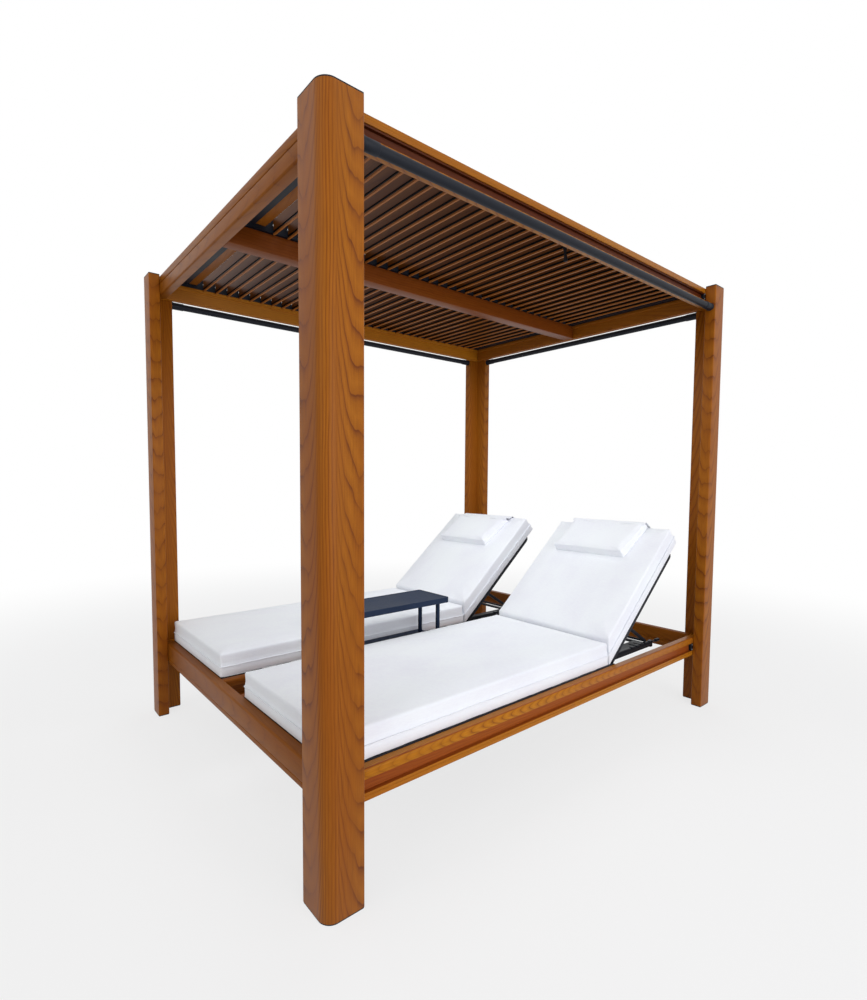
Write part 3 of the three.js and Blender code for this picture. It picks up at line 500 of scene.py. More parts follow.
def prismParts(points, axis, start, end, mitreFace=None):
    # an outline in the two other axes drawn out along one; a mitred end moves in by the depth behind a face
    verts, count = [], len(points)
    for place, inward in ((start, 1), (end, -1)):
        for a, b in points:
            depth = abs(mitreFace) - abs(a) if mitreFace is not None else 0
            coords = [a, b]
            coords.insert(axis, place + inward * depth)
            verts.append(coords)
    faces = [tuple(range(count)), tuple(range(2 * count - 1, count - 1, -1))]
    for i in range(count):
        j = (i + 1) % count
        faces.append((i, j, count + j, count + i))
    return verts, faces


def boxParts(low, high):
    points = [(low[0], low[1]), (high[0], low[1]), (high[0], high[1]), (low[0], high[1])]
    return prismParts(points, 2, low[2], high[2])


def spanBox(*spans):
    # the two ends of each span come in any order
    return boxParts(*zip(*(sorted(span) for span in spans)))


def mirrored(low, high):
    return [boxParts(low, high), boxParts((low[0], -high[1], low[2]), (high[0], -low[1], high[2]))]


def tubeParts(axis, centre, start, end, radius, steps):
    angles, (a, b) = [2 * math.pi * i / steps for i in range(steps)], centre
    points = [(a + radius * math.cos(angle), b + radius * math.sin(angle)) for angle in angles]
    return prismParts(points, axis, start, end)


def bake(piece):
    bpy.context.view_layer.update()
    depsgraph = bpy.context.evaluated_depsgraph_get()
    mesh = bpy.data.meshes.new_from_object(piece.evaluated_get(depsgraph))
    piece.modifiers.clear()
    piece.data = mesh


def smoothOver(piece, degrees=35):
    piece.data.shade_smooth()
    piece.data.set_sharp_from_angle(angle=math.radians(degrees))


def roundEdges(piece, width, segments=2):
    edge = piece.modifiers.new("edgeRound", "BEVEL")
    edge.width = width
    edge.segments = segments
    edge.limit_method = "ANGLE"
    edge.angle_limit = math.radians(35)
    bake(piece)
    smoothOver(piece)


def makePiece(name, parts, material, bevel=0.0, place=None, segments=2):
    # parts is a list of (verts, faces)
    verts, faces = [], []
    for partVerts, partFaces in parts:
        base = len(verts)
        verts += [tuple(vert) for vert in partVerts]
        faces += [tuple(base + i for i in face) for face in partFaces]
    mesh = bpy.data.meshes.new(name)
    mesh.from_pydata(verts, [], faces)
    shape = bmesh.new()
    shape.from_mesh(mesh)
    bmesh.ops.recalc_face_normals(shape, faces=shape.faces)
    shape.to_mesh(mesh)
    shape.free()
    if place is not None:
        mesh.transform(place)
    mesh.materials.append(material)
    piece = newObject(name, mesh)
    if bevel:
        roundEdges(piece, bevel, segments)
    else:
        smoothOver(piece)
    return piece


def repaint(mesh, material):
    mesh.materials.clear()
    mesh.materials.append(material)


def cutOut(piece, parts):
    cutter = makePiece("cutter", parts, piece.data.materials[0])
    cut = piece.modifiers.new("cut", "BOOLEAN")
    cut.operation = "DIFFERENCE"
    cut.solver = "EXACT"
    cut.object = cutter
    bake(piece)
    bpy.data.objects.remove(cutter)


def settle(piece, body, node=None):
    material = next(filter(None, piece.data.materials))
    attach(piece, body)
    if node:
        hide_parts(node)


def addPiece(name, parts, material, body="frame", node=None, **shape):
    settle(makePiece(name, parts, material, **shape), body, node)


# posts: an L section with a big outer radius, a black plate under it and a black cap on it

postSize = {
    "arm": 0.127,
    "thickness": 0.05,
    "outerRadius": 0.04,
    "endRadius": 0.004,
    "cap": 0.004,
    "capInset": 0.0002,
    "foot": 0.004,
    "footInset": 0.001,
    "shaftEdge": 0.0006,
    "capEdge": 0.001,
    "footEdge": 0.0005,
}


def postOutline(signX, signY, inset):
    arm, thick, end = postSize["arm"] - inset, postSize["thickness"] - inset, (postSize["endRadius"], 5)
    points = outlinePoints([
        (inset, inset, postSize["outerRadius"] - inset, 20), (arm, inset, *end), (arm, thick, *end),
        (thick, thick), (thick, arm, *end), (inset, arm, *end),
    ])
    return [(signX * (footprintX - p.x), signY * (footprintY - p.y)) for p in points]


def makePosts():
    size = postSize
    foot, capLow = size["foot"], postTop - size["cap"]
    stages = (
        ("shaft", postWood, 0.0, foot, capLow, size["shaftEdge"]),
        ("cap", blackPaint, size["capInset"], capLow, postTop, size["capEdge"]),
        ("foot_plate", blackPaint, size["footInset"], 0, foot, size["footEdge"]),
    )
    corners = (("near_foot", -1, -1), ("near_head", 1, -1), ("far_head", 1, 1), ("far_foot", -1, 1))
    for corner, *signs in corners:
        node = f"post_{corner}"
        for part, material, inset, low, high, edge in stages:
            parts = [prismParts(postOutline(*signs, inset), 2, low, high)]
            addPiece(f"{node}_{part}", parts, material, node=node, bevel=edge)


makePosts()
print("posts made")


# rails and beams

railSize = {
    "height": {"bed_rail": 0.095, "roof_beam": 0.088},
    "bandHeight": 0.03,
    "lipHeight": 0.024,
    "sunkDepth": 0.016,
    "cornerRadius": 0.008,
    "groove": 0.0022,
    "grooveFromLip": 0.015,
    "stepDepth": 0.005,
    "stepHeight": 0.005,
    # distance from the lip, height and depth
    "endGroove": {"bed_rail": (0.018, 0.0022, 0.002), "roof_beam": (0.033, 0.005, 0.004)},
    "sideWall": 0.034,
    "endWall": 0.04,
    "ledgeFromBand": 0.061,
    "ledgeThickness": 0.014,
    "ledgeReach": 0.014,
    "edge": 0.0012,
    # the sunk strip's finish is darker: painted shade in the recess
    "stripFrom": 0.003,  # faces from this depth to the sunk strip's have the strip's finish
    "slack": 0.0005,
}
bracketSize = {"length": 0.012, "front": 0.001, "backGap": 0.0004, "gap": 0.0005, "edge": 0.001}
centreBeamSize = {"gap": 0.0003, "edge": 0.004}


def members(*names):
    # rails and beams: kind, name, axis they run along, outward sign, sign from the band to the lip, box,
    # outer face and level of the band
    for kind, up in (("bed_rail", -1), ("roof_beam", 1)):
        for name in names:
            axis, sign = {"near": (0, -1), "far": (0, 1), "foot": (1, -1), "head": (1, 1)}[name]
            low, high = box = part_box(f"{kind}_{name}")
            face = (low if sign < 0 else high)[1 - axis]
            yield kind, name, axis, sign, up, box, face, (high.z if up < 0 else low.z)


def innerSide(wall, height):
    reach, ledge = wall + railSize["ledgeReach"], railSize["ledgeFromBand"]
    under = ledge + railSize["ledgeThickness"]
    return [(wall, 0), (wall, ledge), (reach, ledge), (reach, under), (wall, under),
            (wall, height), (0, height)]


def sideSection(kind):
    # the lip has a groove on the bed rails and a step beside it on the roof beams
    size, height = railSize, railSize["height"][kind]
    depth, band, lip = size["sunkDepth"], size["bandHeight"], height - size["lipHeight"]
    if kind == "bed_rail":
        level, half = height - size["grooveFromLip"], size["groove"] / 2
        edge = [(0, level + half), (size["groove"], level), (0, level - half), (0, lip), (depth, lip)]
    else:
        step, under = size["stepDepth"], lip - size["stepHeight"]
        edge = [(0, lip), (step, lip), (step, under), (depth, under)]
    return [*innerSide(size["sideWall"], height), *edge, (depth, band), (0, band),
            (0, 0, size["cornerRadius"], 10)]


def endSection(kind):
    fromLip, groove, depth = railSize["endGroove"][kind]
    height = railSize["height"][kind]
    level, half = height - fromLip, groove / 2
    return [*innerSide(railSize["endWall"], height), (0, level + half), (depth, level), (0, level - half),
            (0, 0, railSize["cornerRadius"], 10)]


def placedSection(section, face, inward, band, up):
    return outlinePoints([(face + inward * a, band + up * b, *rounding) for a, b, *rounding in section])


def shadeSunkStrip(rail, face, strip):
    # the sunk strip of a side rail gets a darker finish: painted shade in the recess
    rail.data.materials.append(strip)
    for polygon in rail.data.polygons:
        depth = abs(face) - abs(polygon.center.y)
        if railSize["stripFrom"] < depth < railSize["sunkDepth"] + railSize["slack"]:
            polygon.material_index = 1


def makeRails():
    # the second finish of each kind is the sunk strip's, darkened as painted shade
    finish = {"bed_rail": (sideRailWood, shadedBedStripWood), "roof_beam": (sideBeamWood, shadedRoofStripWood)}
    for kind, name, axis, sign, up, box, face, band in members("near", "far", "foot", "head"):
        section = endSection(kind) if axis else sideSection(kind)
        points = placedSection(section, face, -sign, band, up)
        parts = [prismParts(points, axis, box[0][axis], box[1][axis], face)]
        rail = makePiece(f"{kind}_{name}_bar", parts, endWood if axis else finish[kind][0], railSize["edge"])
        if not axis:
            shadeSunkStrip(rail, face, finish[kind][1])
        settle(rail, "frame", f"{kind}_{name}")


def makeRailBrackets():
    # black angle pieces in the sunk strip, where a side rail meets its post
    size, parts = bracketSize, []
    near, back = footprintX - postSize["arm"], railSize["sunkDepth"] - size["backGap"]
    for kind, _, _, sign, up, _, face, band in members("near", "far"):
        step = railSize["stepHeight"] if up > 0 else 0
        first, last = railSize["bandHeight"], railSize["height"][kind] - railSize["lipHeight"] - step
        levels = (band + up * first + up * size["gap"], band + up * last - up * size["gap"])
        depths = (face - sign * size["front"], face - sign * back)
        for end in (-1, 1):
            parts.append(spanBox((end * near, end * (near - size["length"])), depths, levels))
    addPiece("rail_end_brackets", parts, blackPaint, bevel=size["edge"])


def makeCentreBeam():
    low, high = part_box("roof_beam_centre")
    gap = centreBeamSize["gap"]
    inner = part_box("roof_beam_foot")[1].x + gap
    under = high.z - railSize["ledgeThickness"] - gap
    points = [
        (low.x, low.z), (high.x, low.z), (high.x, under), (-inner, under),
        (-inner, high.z), (inner, high.z), (inner, under), (low.x, under),
    ]
    parts = [prismParts(points, 1, low.y, high.y)]
    addPiece("roof_beam_centre_bar", parts, centreWood, node="roof_beam_centre", bevel=centreBeamSize["edge"],
             segments=3)


makeRails()
makeRailBrackets()
makeCentreBeam()
print("rails and beams made")


# louvres, their carrier and the lever

louvreNames = [name for name in frame["nodes"] if name.startswith("louvre_") and name[-2:].isdigit()]
bladeSize = {"top": 2.2175, "weld": 0.00002, "crease": 12}  # top: the blades are cut level here
closingStrip = {
    "from": 0.1893, "width": 0.046, "low": 0.0166, "thickness": 0.0084, "setIn": 0.016, "edge": 0.001,
}
upstand = {
    "thickness": 0.0015, "top": 2.2228, "nearTop": 2.205, "endGap": 0.002, "centreRail": 0.09, "setIn": 0.02,
    "sunk": 0.001,
}
leverSize = {
    "head": 0.024, "neck": 0.009, "paddle": 0.02, "thickness": 0.007, "lean": 0.008, "headHeight": 0.032,
    "neckShares": (0.4, 0.6), "headRadius": 0.002, "shoulder": 0.003, "neckRadius": 0.012, "tip": 0.005,
    "edge": 0.0015,
}


def makeBlades():
    for name in louvreNames:
        mesh = frame["nodes"][name].data.copy()
        shape = bmesh.new()
        shape.from_mesh(mesh)
        bmesh.ops.remove_doubles(shape, verts=shape.verts, dist=bladeSize["weld"])
        for vert in shape.verts:
            vert.co.z = min(vert.co.z, bladeSize["top"])
        shape.to_mesh(mesh)
        shape.free()
        repaint(mesh, shadedLouvreWood)
        blade = newObject(f"{name}_blade", mesh)
        smoothOver(blade, bladeSize["crease"])
        settle(blade, name, name)


def makeCarrier():
    repaint(frame["nodes"]["louvre_carrier"].data, blackPaint)
    low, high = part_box("louvre_carrier")
    # thin upstands on the carrier close the view past the blades' ends
    bladeLow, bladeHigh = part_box(louvreNames[0])
    thick, gap, setIn = upstand["thickness"], upstand["endGap"], upstand["setIn"]
    centre = upstand["centreRail"] / 2
    walls = []
    for y, top in ((bladeLow.y - gap - thick, upstand["nearTop"]), (-centre, upstand["top"]),
                   (centre - thick, upstand["top"]), (bladeHigh.y + gap, upstand["top"])):
        walls.append(boxParts((low.x + setIn, y, high.z - upstand["sunk"]), (high.x - setIn, y + thick, top)))
    addPiece("louvre_carrier_upstands", walls, blackPaint)
    size = closingStrip
    start, setIn, level = -footprintX + size["from"], size["setIn"], low.z + size["low"]
    strip = boxParts((start, low.y + setIn, level),
                     (start + size["width"], high.y - setIn, level + size["thickness"]))
    addPiece("roof_closing_strip", [strip], endWood, bevel=size["edge"])


def makeLever():
    size = leverSize
    low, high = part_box("louvre_lever")
    centre = (low.y + high.y) / 2
    head, neck, paddle = (size[key] / 2 for key in ("head", "neck", "paddle"))
    headLow = high.z - size["headHeight"]
    drop = headLow - low.z
    neckHigh, neckLow = (headLow - drop * share for share in size["neckShares"])
    half = [
        (head, high.z, size["headRadius"], 4), (head, headLow, size["shoulder"], 4),
        (neck, neckHigh, size["neckRadius"], 5), (neck, neckLow, size["neckRadius"], 5),
        (paddle, low.z, size["tip"], 6),
    ]
    points = outlinePoints([(centre - y, *rest) for y, *rest in half]
                           + [(centre + y, *rest) for y, *rest in reversed(half)])
    parts = [prismParts(points, 0, low.x, low.x + size["thickness"])]
    for vert in parts[0][0]:
        vert[0] += size["lean"] * max(0.0, (headLow - vert[2]) / drop)
    addPiece("louvre_lever_paddle", parts, blackPaint, "louvre_16", "louvre_lever", bevel=size["edge"])


makeBlades()
makeCarrier()
makeLever()
print("roof made")


# curtain rods

rodSize = {
    "radius": 0.0155, "sleeveRadius": 0.0175, "sleeveLength": 0.05, "cupRadius": 0.019, "cupLength": 0.01,
    "setIn": 0.002, "edge": 0.0015, "steps": 40,
}


def makeRods():
    size = rodSize
    cup, setIn = size["cupLength"], size["setIn"]
    sleeve = cup + size["sleeveLength"]
    for name, axis in (("near", 0), ("far", 0), ("head", 1)):
        node = f"curtain_rod_{name}"
        low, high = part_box(node)
        centre = (low + high) / 2
        across = [centre[i] for i in range(3) if i != axis]
        start, end = low[axis], high[axis]
        tube, *ends = [tubeParts(axis, across, *span, size[radius], size["steps"]) for *span, radius in (
            (start + setIn, end - setIn, "radius"),
            (start, start + cup, "cupRadius"),
            (end - cup, end, "cupRadius"),
            (start + cup, start + sleeve, "sleeveRadius"),
            (end - sleeve, end - cup, "sleeveRadius"),
        )]
        addPiece(f"{node}_tube", [tube], blackPaint, node=node)
        addPiece(f"{node}_sleeves", ends, blackPaint, node=node, bevel=size["edge"])


makeRods()
print("curtain rods made")


# pieces that repeat, made by geometry nodes

def newTree(name, **kinds):
    tree = bpy.data.node_groups.new(name, "GeometryNodeTree")
    for title, kind in {"Geometry": "Geometry", **kinds}.items():
        tree.interface.new_socket(title, in_out="INPUT", socket_type=f"NodeSocket{kind}")
    tree.interface.new_socket("Geometry", in_out="OUTPUT", socket_type="NodeSocketGeometry")
    return tree, addNode(tree, "NodeGroupInput").outputs


def closeTree(tree, geometry, material):
    real = addNode(tree, "GeometryNodeRealizeInstances", {0: geometry})
    painted = addNode(tree, "GeometryNodeSetMaterial", {0: real, "Material": material})
    addNode(tree, "NodeGroupOutput", {0: painted})
    return tree


def makeSlatTree():
    kinds = {"Count": "Int", "First": "Vector", "Step": "Vector", "Size": "Vector", "Paint": "Material"}
    tree, inputs = newTree("slatRow", **kinds)
    row = addNode(tree, "GeometryNodeMeshLine", {
        "Count": inputs["Count"], "Start Location": inputs["First"], "Offset": inputs["Step"],
    }, mode="OFFSET")
    slat = addNode(tree, "GeometryNodeMeshCube", {"Size": inputs["Size"]})
    placed = addNode(tree, "GeometryNodeInstanceOnPoints", {"Points": row, "Instance": slat})
    return closeTree(tree, placed, inputs["Paint"])


def makeScrewTree():
    tree, inputs = newTree("screwHeads", Radius="Float", Depth="Float", Paint="Material")
    facing = addNode(tree, "GeometryNodeInputNamedAttribute", {"Name": "facing"}, data_type="FLOAT_VECTOR")
    turn = addNode(tree, "FunctionNodeAlignRotationToVector", {"Vector": facing}, axis="Z")
    rim = combine(tree, "MULTIPLY", inputs["Radius"], 0.72)
    head = addNode(tree, "GeometryNodeMeshCone", {
        "Vertices": 16, "Radius Top": rim, "Radius Bottom": inputs["Radius"], "Depth": inputs["Depth"],
    })
    placed = addNode(tree, "GeometryNodeInstanceOnPoints", {
        "Points": inputs["Geometry"], "Instance": head, "Rotation": turn,
    })
    return closeTree(tree, placed, inputs["Paint"])


def makeWeltTree():
    tree, inputs = newTree("weltCord", Radius="Float", Paint="Material")
    path = addNode(tree, "GeometryNodeMeshToCurve", {0: inputs["Geometry"]})
    profile = addNode(tree, "GeometryNodeCurvePrimitiveCircle", {"Resolution": 8, "Radius": inputs["Radius"]})
    sweep = addNode(tree, "GeometryNodeCurveToMesh", {"Curve": path, "Profile Curve": profile})
    smooth = addNode(tree, "GeometryNodeSetShadeSmooth", {0: sweep})
    return closeTree(tree, smooth, inputs["Paint"])


def grow(name, tree, values, verts=((0, 0, 0),), edges=(), facing=()):
    mesh = bpy.data.meshes.new(name)
    mesh.from_pydata(verts, edges, [])
    if facing:
        attribute = mesh.attributes.new("facing", "FLOAT_VECTOR", "POINT")
        attribute.data.foreach_set("vector", [c for direction in facing for c in direction])
    piece = newObject(name, mesh)
    modifier = piece.modifiers.new("made", "NODES")
    modifier.node_group = tree
    for item in tree.interface.items_tree:
        if item.in_out == "INPUT" and item.name in values:
            modifier[item.identifier] = values[item.name]
    bake(piece)
    return piece


slatTree = makeSlatTree()
screwTree = makeScrewTree()
weltTree = makeWeltTree()


def slatRow(name, size, first, step, reach):
    slats = grow(name, slatTree, {
        "Count": size["slatCount"],
        "First": first,
        "Step": (step, 0, 0),
        "Size": (size["slatWidth"], 2 * reach - size["slatGap"], size["slatThickness"]),
        "Paint": blackPaint,
    })
    roundEdges(slats, size["slatEdge"])
    return slats


# bed deck: two inner rails, and in each bay a seat frame with slats, the hinge bar and the rack

deckSize = {
    "gap": 0.083,  # half the distance between the inner rails' outer faces
    "railFrom": 0.0906,
    "barOuter": 0.33915,
    "barThickness": 0.01,
    "barLow": 0.3043,
    "barEdge": 0.0012,
    "top": 0.366,
    "footFrom": -1.1077,
    "footHeight": 0.024,
    "barFrom": -1.0937,
    "barTo": 0.363,
    "slatCount": 9,
    "slatWidth": 0.06,
    "slatThickness": 0.012,
    "slatGap": 0.0004,
    "slatEdge": 0.0015,
    "hingeBarFrom": 0.3,
    "hingeBarTo": 0.324,
    "tieWidth": 0.04,
    "tieThickness": 0.006,
    "tieFromTableEnd": 0.026,
    "tieGap": 0.0002,
    "tieEdge": 0.001,
}
rackSize = {
    "low": 0.335,
    "top": 0.357,
    "to": 0.882,
    "outer": 0.25415,
    "width": 0.016,
    "edge": 0.001,
    "gap": 0.0002,
    "notchCount": 5,
    "notchWidth": 0.014,
    "notchDepth": 0.009,
    "notchPitch": 0.044,
    "plateFrom": 0.42,
    "plateWidth": 0.082,
    "plateThickness": 0.006,
    "slotWidth": 0.014,
    "slotLength": 0.042,
    "slotPitch": 0.042,
    "slotRadius": 0.0063,
    "crossWidth": 0.022,
    "crossHeight": 0.011,
    "pegRadius": 0.0045,
    "pegLength": 0.038,
    "pegEdge": 0.002,
    "knobRadius": 0.008,
    "knobLength": 0.04,
}


def makeInnerRails():
    size = deckSize
    low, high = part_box("bed_rail_foot")
    start = -footprintX + size["railFrom"]
    for name, sign in (("near", -1), ("far", 1)):
        points = placedSection(sideSection("bed_rail"), sign * size["gap"], sign, high.z, -1)
        parts = [prismParts(points, 0, start, -start)]
        addPiece(f"inner_rail_{name}", parts, innerWood, node="bed_deck", bevel=railSize["edge"])
    tableLow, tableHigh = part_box("side_table")
    setIn, reach, width = size["tieFromTableEnd"], size["gap"] - size["tieGap"], size["tieWidth"]
    ties = []
    for x in (tableLow.x + setIn, tableHigh.x - setIn - width):
        ties.append(boxParts((x, -reach, low.z), (x + width, reach, low.z + size["tieThickness"])))
    addPiece("inner_rail_ties", ties, blackPaint, node="bed_deck", bevel=size["tieEdge"])


def makeSeatFrame(side, place):
    size = deckSize
    outer, top, start = size["barOuter"], size["top"], size["barFrom"]
    inner = outer - size["barThickness"]
    bars = mirrored((start, inner, size["barLow"]), (size["barTo"], outer, top))
    bars.append(boxParts((size["footFrom"], -outer, top - size["footHeight"]), (start, outer, top)))
    bars.append(boxParts((size["hingeBarFrom"], -inner, rackSize["low"]),
                         (size["hingeBarTo"], inner, rackSize["top"])))
    addPiece(f"seat_frame_{side}", bars, blackPaint, node="bed_deck", bevel=size["barEdge"], place=place)
    step = (size["hingeBarFrom"] - start) / (size["slatCount"] + 1)
    first = (start + step, bayCentre[side], top - size["slatThickness"] / 2)
    settle(slatRow(f"seat_slats_{side}", size, first, step, inner), "frame", "bed_deck")


def makeRackBars(side, place):
    size = rackSize
    low, top, end, outer = size["low"], size["top"], size["to"], size["outer"]
    inner = outer - size["width"]
    start, crossFrom = deckSize["hingeBarTo"] + size["gap"], end - size["crossWidth"]
    points = [(start, low), (end, low), (end, top)]
    half = size["notchWidth"] / 2
    for i in range(size["notchCount"]):
        x = crossFrom - size["notchWidth"] - i * size["notchPitch"]
        points += [(x + half, top), (x, top - size["notchDepth"]), (x - half, top)]
    points.append((start, top))
    bars = [prismParts(points, 1, inner, outer), prismParts(points, 1, -outer, -inner)]
    bars.append(boxParts((crossFrom, -outer, low - size["crossHeight"]), (end, outer, low - size["gap"])))
    addPiece(f"rack_bars_{side}", bars, blackPaint, node="bed_deck", bevel=size["edge"], place=place)


def makeRackPlates(side, place):
    size = rackSize
    gap, length, width = size["gap"], size["slotLength"], size["slotWidth"]
    inner, crossFrom = size["outer"] - size["width"], size["to"] - size["crossWidth"]
    high = size["low"] - gap / 2
    low = high - size["plateThickness"]
    plates = makePiece(f"rack_plates_{side}", mirrored(
        (size["plateFrom"], inner - size["plateWidth"], low), (crossFrom - gap, size["outer"], high),
    ), blackPaint)
    middle, over = inner - size["plateWidth"] / 2, 0.01
    slots = []
    for i in (1, 2):
        x = crossFrom - i * size["slotPitch"]
        for sign in (-1, 1):
            y = sign * middle
            points = roundedBox(x, y - length / 2, x + width, y + length / 2, size["slotRadius"], 6)
            slots.append(prismParts(points, 2, low - over, high + over))
    cutOut(plates, slots)
    plates.data.transform(place)
    smoothOver(plates)
    settle(plates, "frame", "bed_deck")


def makeRackPegs(side, place):
    size, pegs = rackSize, []
    level = (size["low"] + size["top"]) / 2
    start, knobFrom = size["to"], size["to"] + size["pegLength"]
    for sign in (-1, 1):
        centre = (sign * (size["outer"] - size["width"] / 2), level)
        pegs.append(tubeParts(0, centre, start, knobFrom, size["pegRadius"], 24))
        pegs.append(tubeParts(0, centre, knobFrom, knobFrom + size["knobLength"], size["knobRadius"], 24))
    addPiece(f"rack_pegs_{side}", pegs, blackPaint, node="bed_deck", bevel=size["pegEdge"], place=place)


makeInnerRails()
for side in sides:
    bay = Matrix.Translation((0, bayCentre[side], 0))
    makeSeatFrame(side, bay)
    makeRackBars(side, bay)
    makeRackPlates(side, bay)
    makeRackPegs(side, bay)
print("bed deck made")


# back frames and stays. Local X runs up the back and local Z points out of its front, from the hinge

backSize = {
    "angle": math.radians(40),
    "half": 0.32815,
    "heel": 0.012,
    "length": 0.758,
    "tube": 0.024,
    "tubeRound": 0.005,
    "bendRadius": 0.048,
    "firstSlat": 0.09,
    "slatCount": 6,
    "slatWidth": 0.06,
    "slatThickness": 0.008,
    "slatGap": 0.0004,
    "slatEdge": 0.0012,
    "pinRadius": 0.005,
    "pinReach": 0.0105,
    "washerRadius": 0.013,
    "washer": (0.0001, 0.0009),
}
staySize = {
    "reach": 0.27,
    "drop": 0.006,
    "length": 0.33,
    "width": 0.016,
    "rounding": 0.98,  # share of the half width
    "edge": 0.0015,
    "armInner": 0.22885,
    "armThickness": 0.008,
    "rodRadius": 0.006,
    "rodReach": 0.001,
    "rodAboveHinge": 0.001,
    "lugThickness": 0.006,
    "lugWidth": 0.024,
    "lugGap": 0.001,
    "lugEdge": 0.0006,
    "crossGap": 0.0006,
    "lugBelowCross": 0.0002,
    "pinRadius": 0.004,
    "pinInside": 0.003,
    "pinHead": 0.0063,
    "headSpan": (-0.0005, 0.0008),
}
backPlace = {
    side: Matrix.Translation(hingePlace[side]) @ Matrix.Rotation(-backSize["angle"], 4, "Y") for side in sides
}


def pinParts(sign, centre, start, end, radius, steps=20):
    return tubeParts(1, centre, *sorted((sign * start, sign * end)), radius, steps)


def bentTube():
    # a rounded square section carried round the two bends of the back frame
    size = backSize
    reach, heel, bend = size["tube"] / 2, -size["heel"], (size["bendRadius"], 14)
    half, end = size["half"] - reach, size["length"] - reach
    corners = [(heel, -half), (end, -half, *bend), (end, half, *bend), (heel, half), (heel, 0)]
    path = outlinePoints(corners)[:-1]
    section = roundedBox(-reach, -reach, reach, reach, size["tubeRound"], 4)
    count, rings = len(section), len(path)
    verts, faces = [], []
    for i, point in enumerate(path):
        before = (point - path[i - 1]).normalized() if i else (path[1] - point).normalized()
        after = (path[i + 1] - point).normalized() if i < rings - 1 else before
        ahead = (before + after).normalized()
        for a, b in section:
            verts.append((point.x - ahead.y * a, point.y + ahead.x * a, b))
    for i in range(rings - 1):
        for k in range(count):
            j = (k + 1) % count
            faces.append((i * count + k, i * count + j, (i + 1) * count + j, (i + 1) * count + k))
    faces.append(tuple(range(count)))
    faces.append(tuple((rings - 1) * count + k for k in range(count - 1, -1, -1)))
    return verts, faces


def makeBackFrame(side):
    size, stay = backSize, staySize
    body, node, place = f"back_{side}", f"back_frame_{side}", backPlace[side]
    addPiece(f"back_tube_{side}", [bentTube()], blackPaint, body, node, place=place)
    half, tube, thick = size["half"], size["tube"], size["slatThickness"]
    inner, front, wide = half - tube, tube / 2, size["slatWidth"] / 2
    step = (size["length"] - tube - size["slatWidth"] - size["firstSlat"]) / size["slatCount"]
    slats = slatRow(f"back_slats_{side}", size, (size["firstSlat"] + wide, 0, front - thick / 2), step, inner)
    slats.data.transform(place)
    settle(slats, body, node)

    reach, drop, lugHalf = stay["reach"], stay["drop"], stay["lugWidth"] / 2
    lugTo = stay["armInner"] - stay["lugGap"]
    lugFrom = lugTo - stay["lugThickness"]
    crossTop = front - stay["crossGap"]
    crossLow = crossTop - thick
    parts = [boxParts((reach - wide, -inner, crossLow), (reach + wide, inner, crossTop))]
    parts += mirrored((reach - lugHalf, lugFrom, -drop - stay["width"] / 2),
                      (reach + lugHalf, lugTo, crossLow - stay["lugBelowCross"]))
    pinTo = stay["armInner"] + stay["armThickness"] + stay["headSpan"][1]
    for sign in (-1, 1):
        parts.append(pinParts(sign, (reach, -drop), lugFrom - stay["pinInside"], pinTo, stay["pinRadius"]))
        parts.append(pinParts(sign, (0, 0), half - front, half + size["pinReach"], size["pinRadius"]))
        washer = [half + gap for gap in size["washer"]]
        parts.append(pinParts(sign, (0, 0), *washer, size["washerRadius"], 28))
    addPiece(f"back_lugs_{side}", parts, blackPaint, body, node, bevel=stay["lugEdge"], place=place)


def makeStay(side):
    size, angle = staySize, backSize["angle"]
    length, half = size["length"], size["width"] / 2
    height = size["reach"] * math.sin(angle) - size["drop"] * math.cos(angle)
    slope = math.asin((height - size["rodAboveHinge"]) / length)
    place = Matrix.Translation(stayPlace[side]) @ Matrix.Rotation(slope, 4, "Y")
    points = roundedBox(-half, -half, length + half, half, half * size["rounding"], 8)
    inner, outer = size["armInner"], size["armInner"] + size["armThickness"]
    arms = [prismParts(points, 1, inner, outer), prismParts(points, 1, -outer, -inner)]
    head = [outer + gap for gap in size["headSpan"]]
    for x in (0, length):
        for sign in (-1, 1):
            arms.append(pinParts(sign, (x, 0), *head, size["pinHead"]))
    body, node = f"stay_{side}", f"back_stay_{side}"
    addPiece(f"stay_arms_{side}", arms, blackPaint, body, node, bevel=size["edge"], place=place)
    reach = inner + size["rodReach"]
    rod = [tubeParts(1, (length, 0), -reach, reach, size["rodRadius"], 24)]
    addPiece(f"stay_rod_{side}", rod, blackPaint, body, node, place=place)


for side in sides:
    makeBackFrame(side)
    makeStay(side)
print("backs and stays made")


# cushions: puffed by a cloth run from a slightly smaller start, with the side seam and the underside held

seatPad = {
    "from": -1.1125, "to": 0.322, "low": 0.3663, "height": 0.1035, "half": 0.3355, "round": 0.01,
    "under": 0.005, "seam": 0.043, "cell": 0.017, "swell": 0.002, "pressure": 4.0, "reach": 0.005,
    "crown": 0.004, "waist": 0.002, "welt": 0.0021, "lean": 0.006,
}
backPad = {
    "from": 0.0, "to": 0.802, "low": 0.0123, "height": 0.103, "half": 0.3335, "round": 0.01,
    "under": 0.005, "seam": 0.043, "cell": 0.015, "swell": 0.002, "pressure": 4.0, "reach": 0.005,
    "crown": 0.003, "waist": 0.002, "welt": 0.0021, "lean": 0.0,
    "slant": 0.068, "slantReach": 0.28, "slantHeel": 0.008,
}
headPad = {
    "from": 0.552, "to": 0.793, "low": 0.1157, "height": 0.051, "half": 0.2075, "round": 0.007,
    "under": 0.004, "seam": 0.01, "cell": 0.011, "swell": 0.002, "pressure": 3.0, "reach": 0.006,
    "crown": 0.003, "waist": 0.002, "lean": 0.0, "topThin": 0.3, "topWider": 0.011, "skew": 0.022,
}
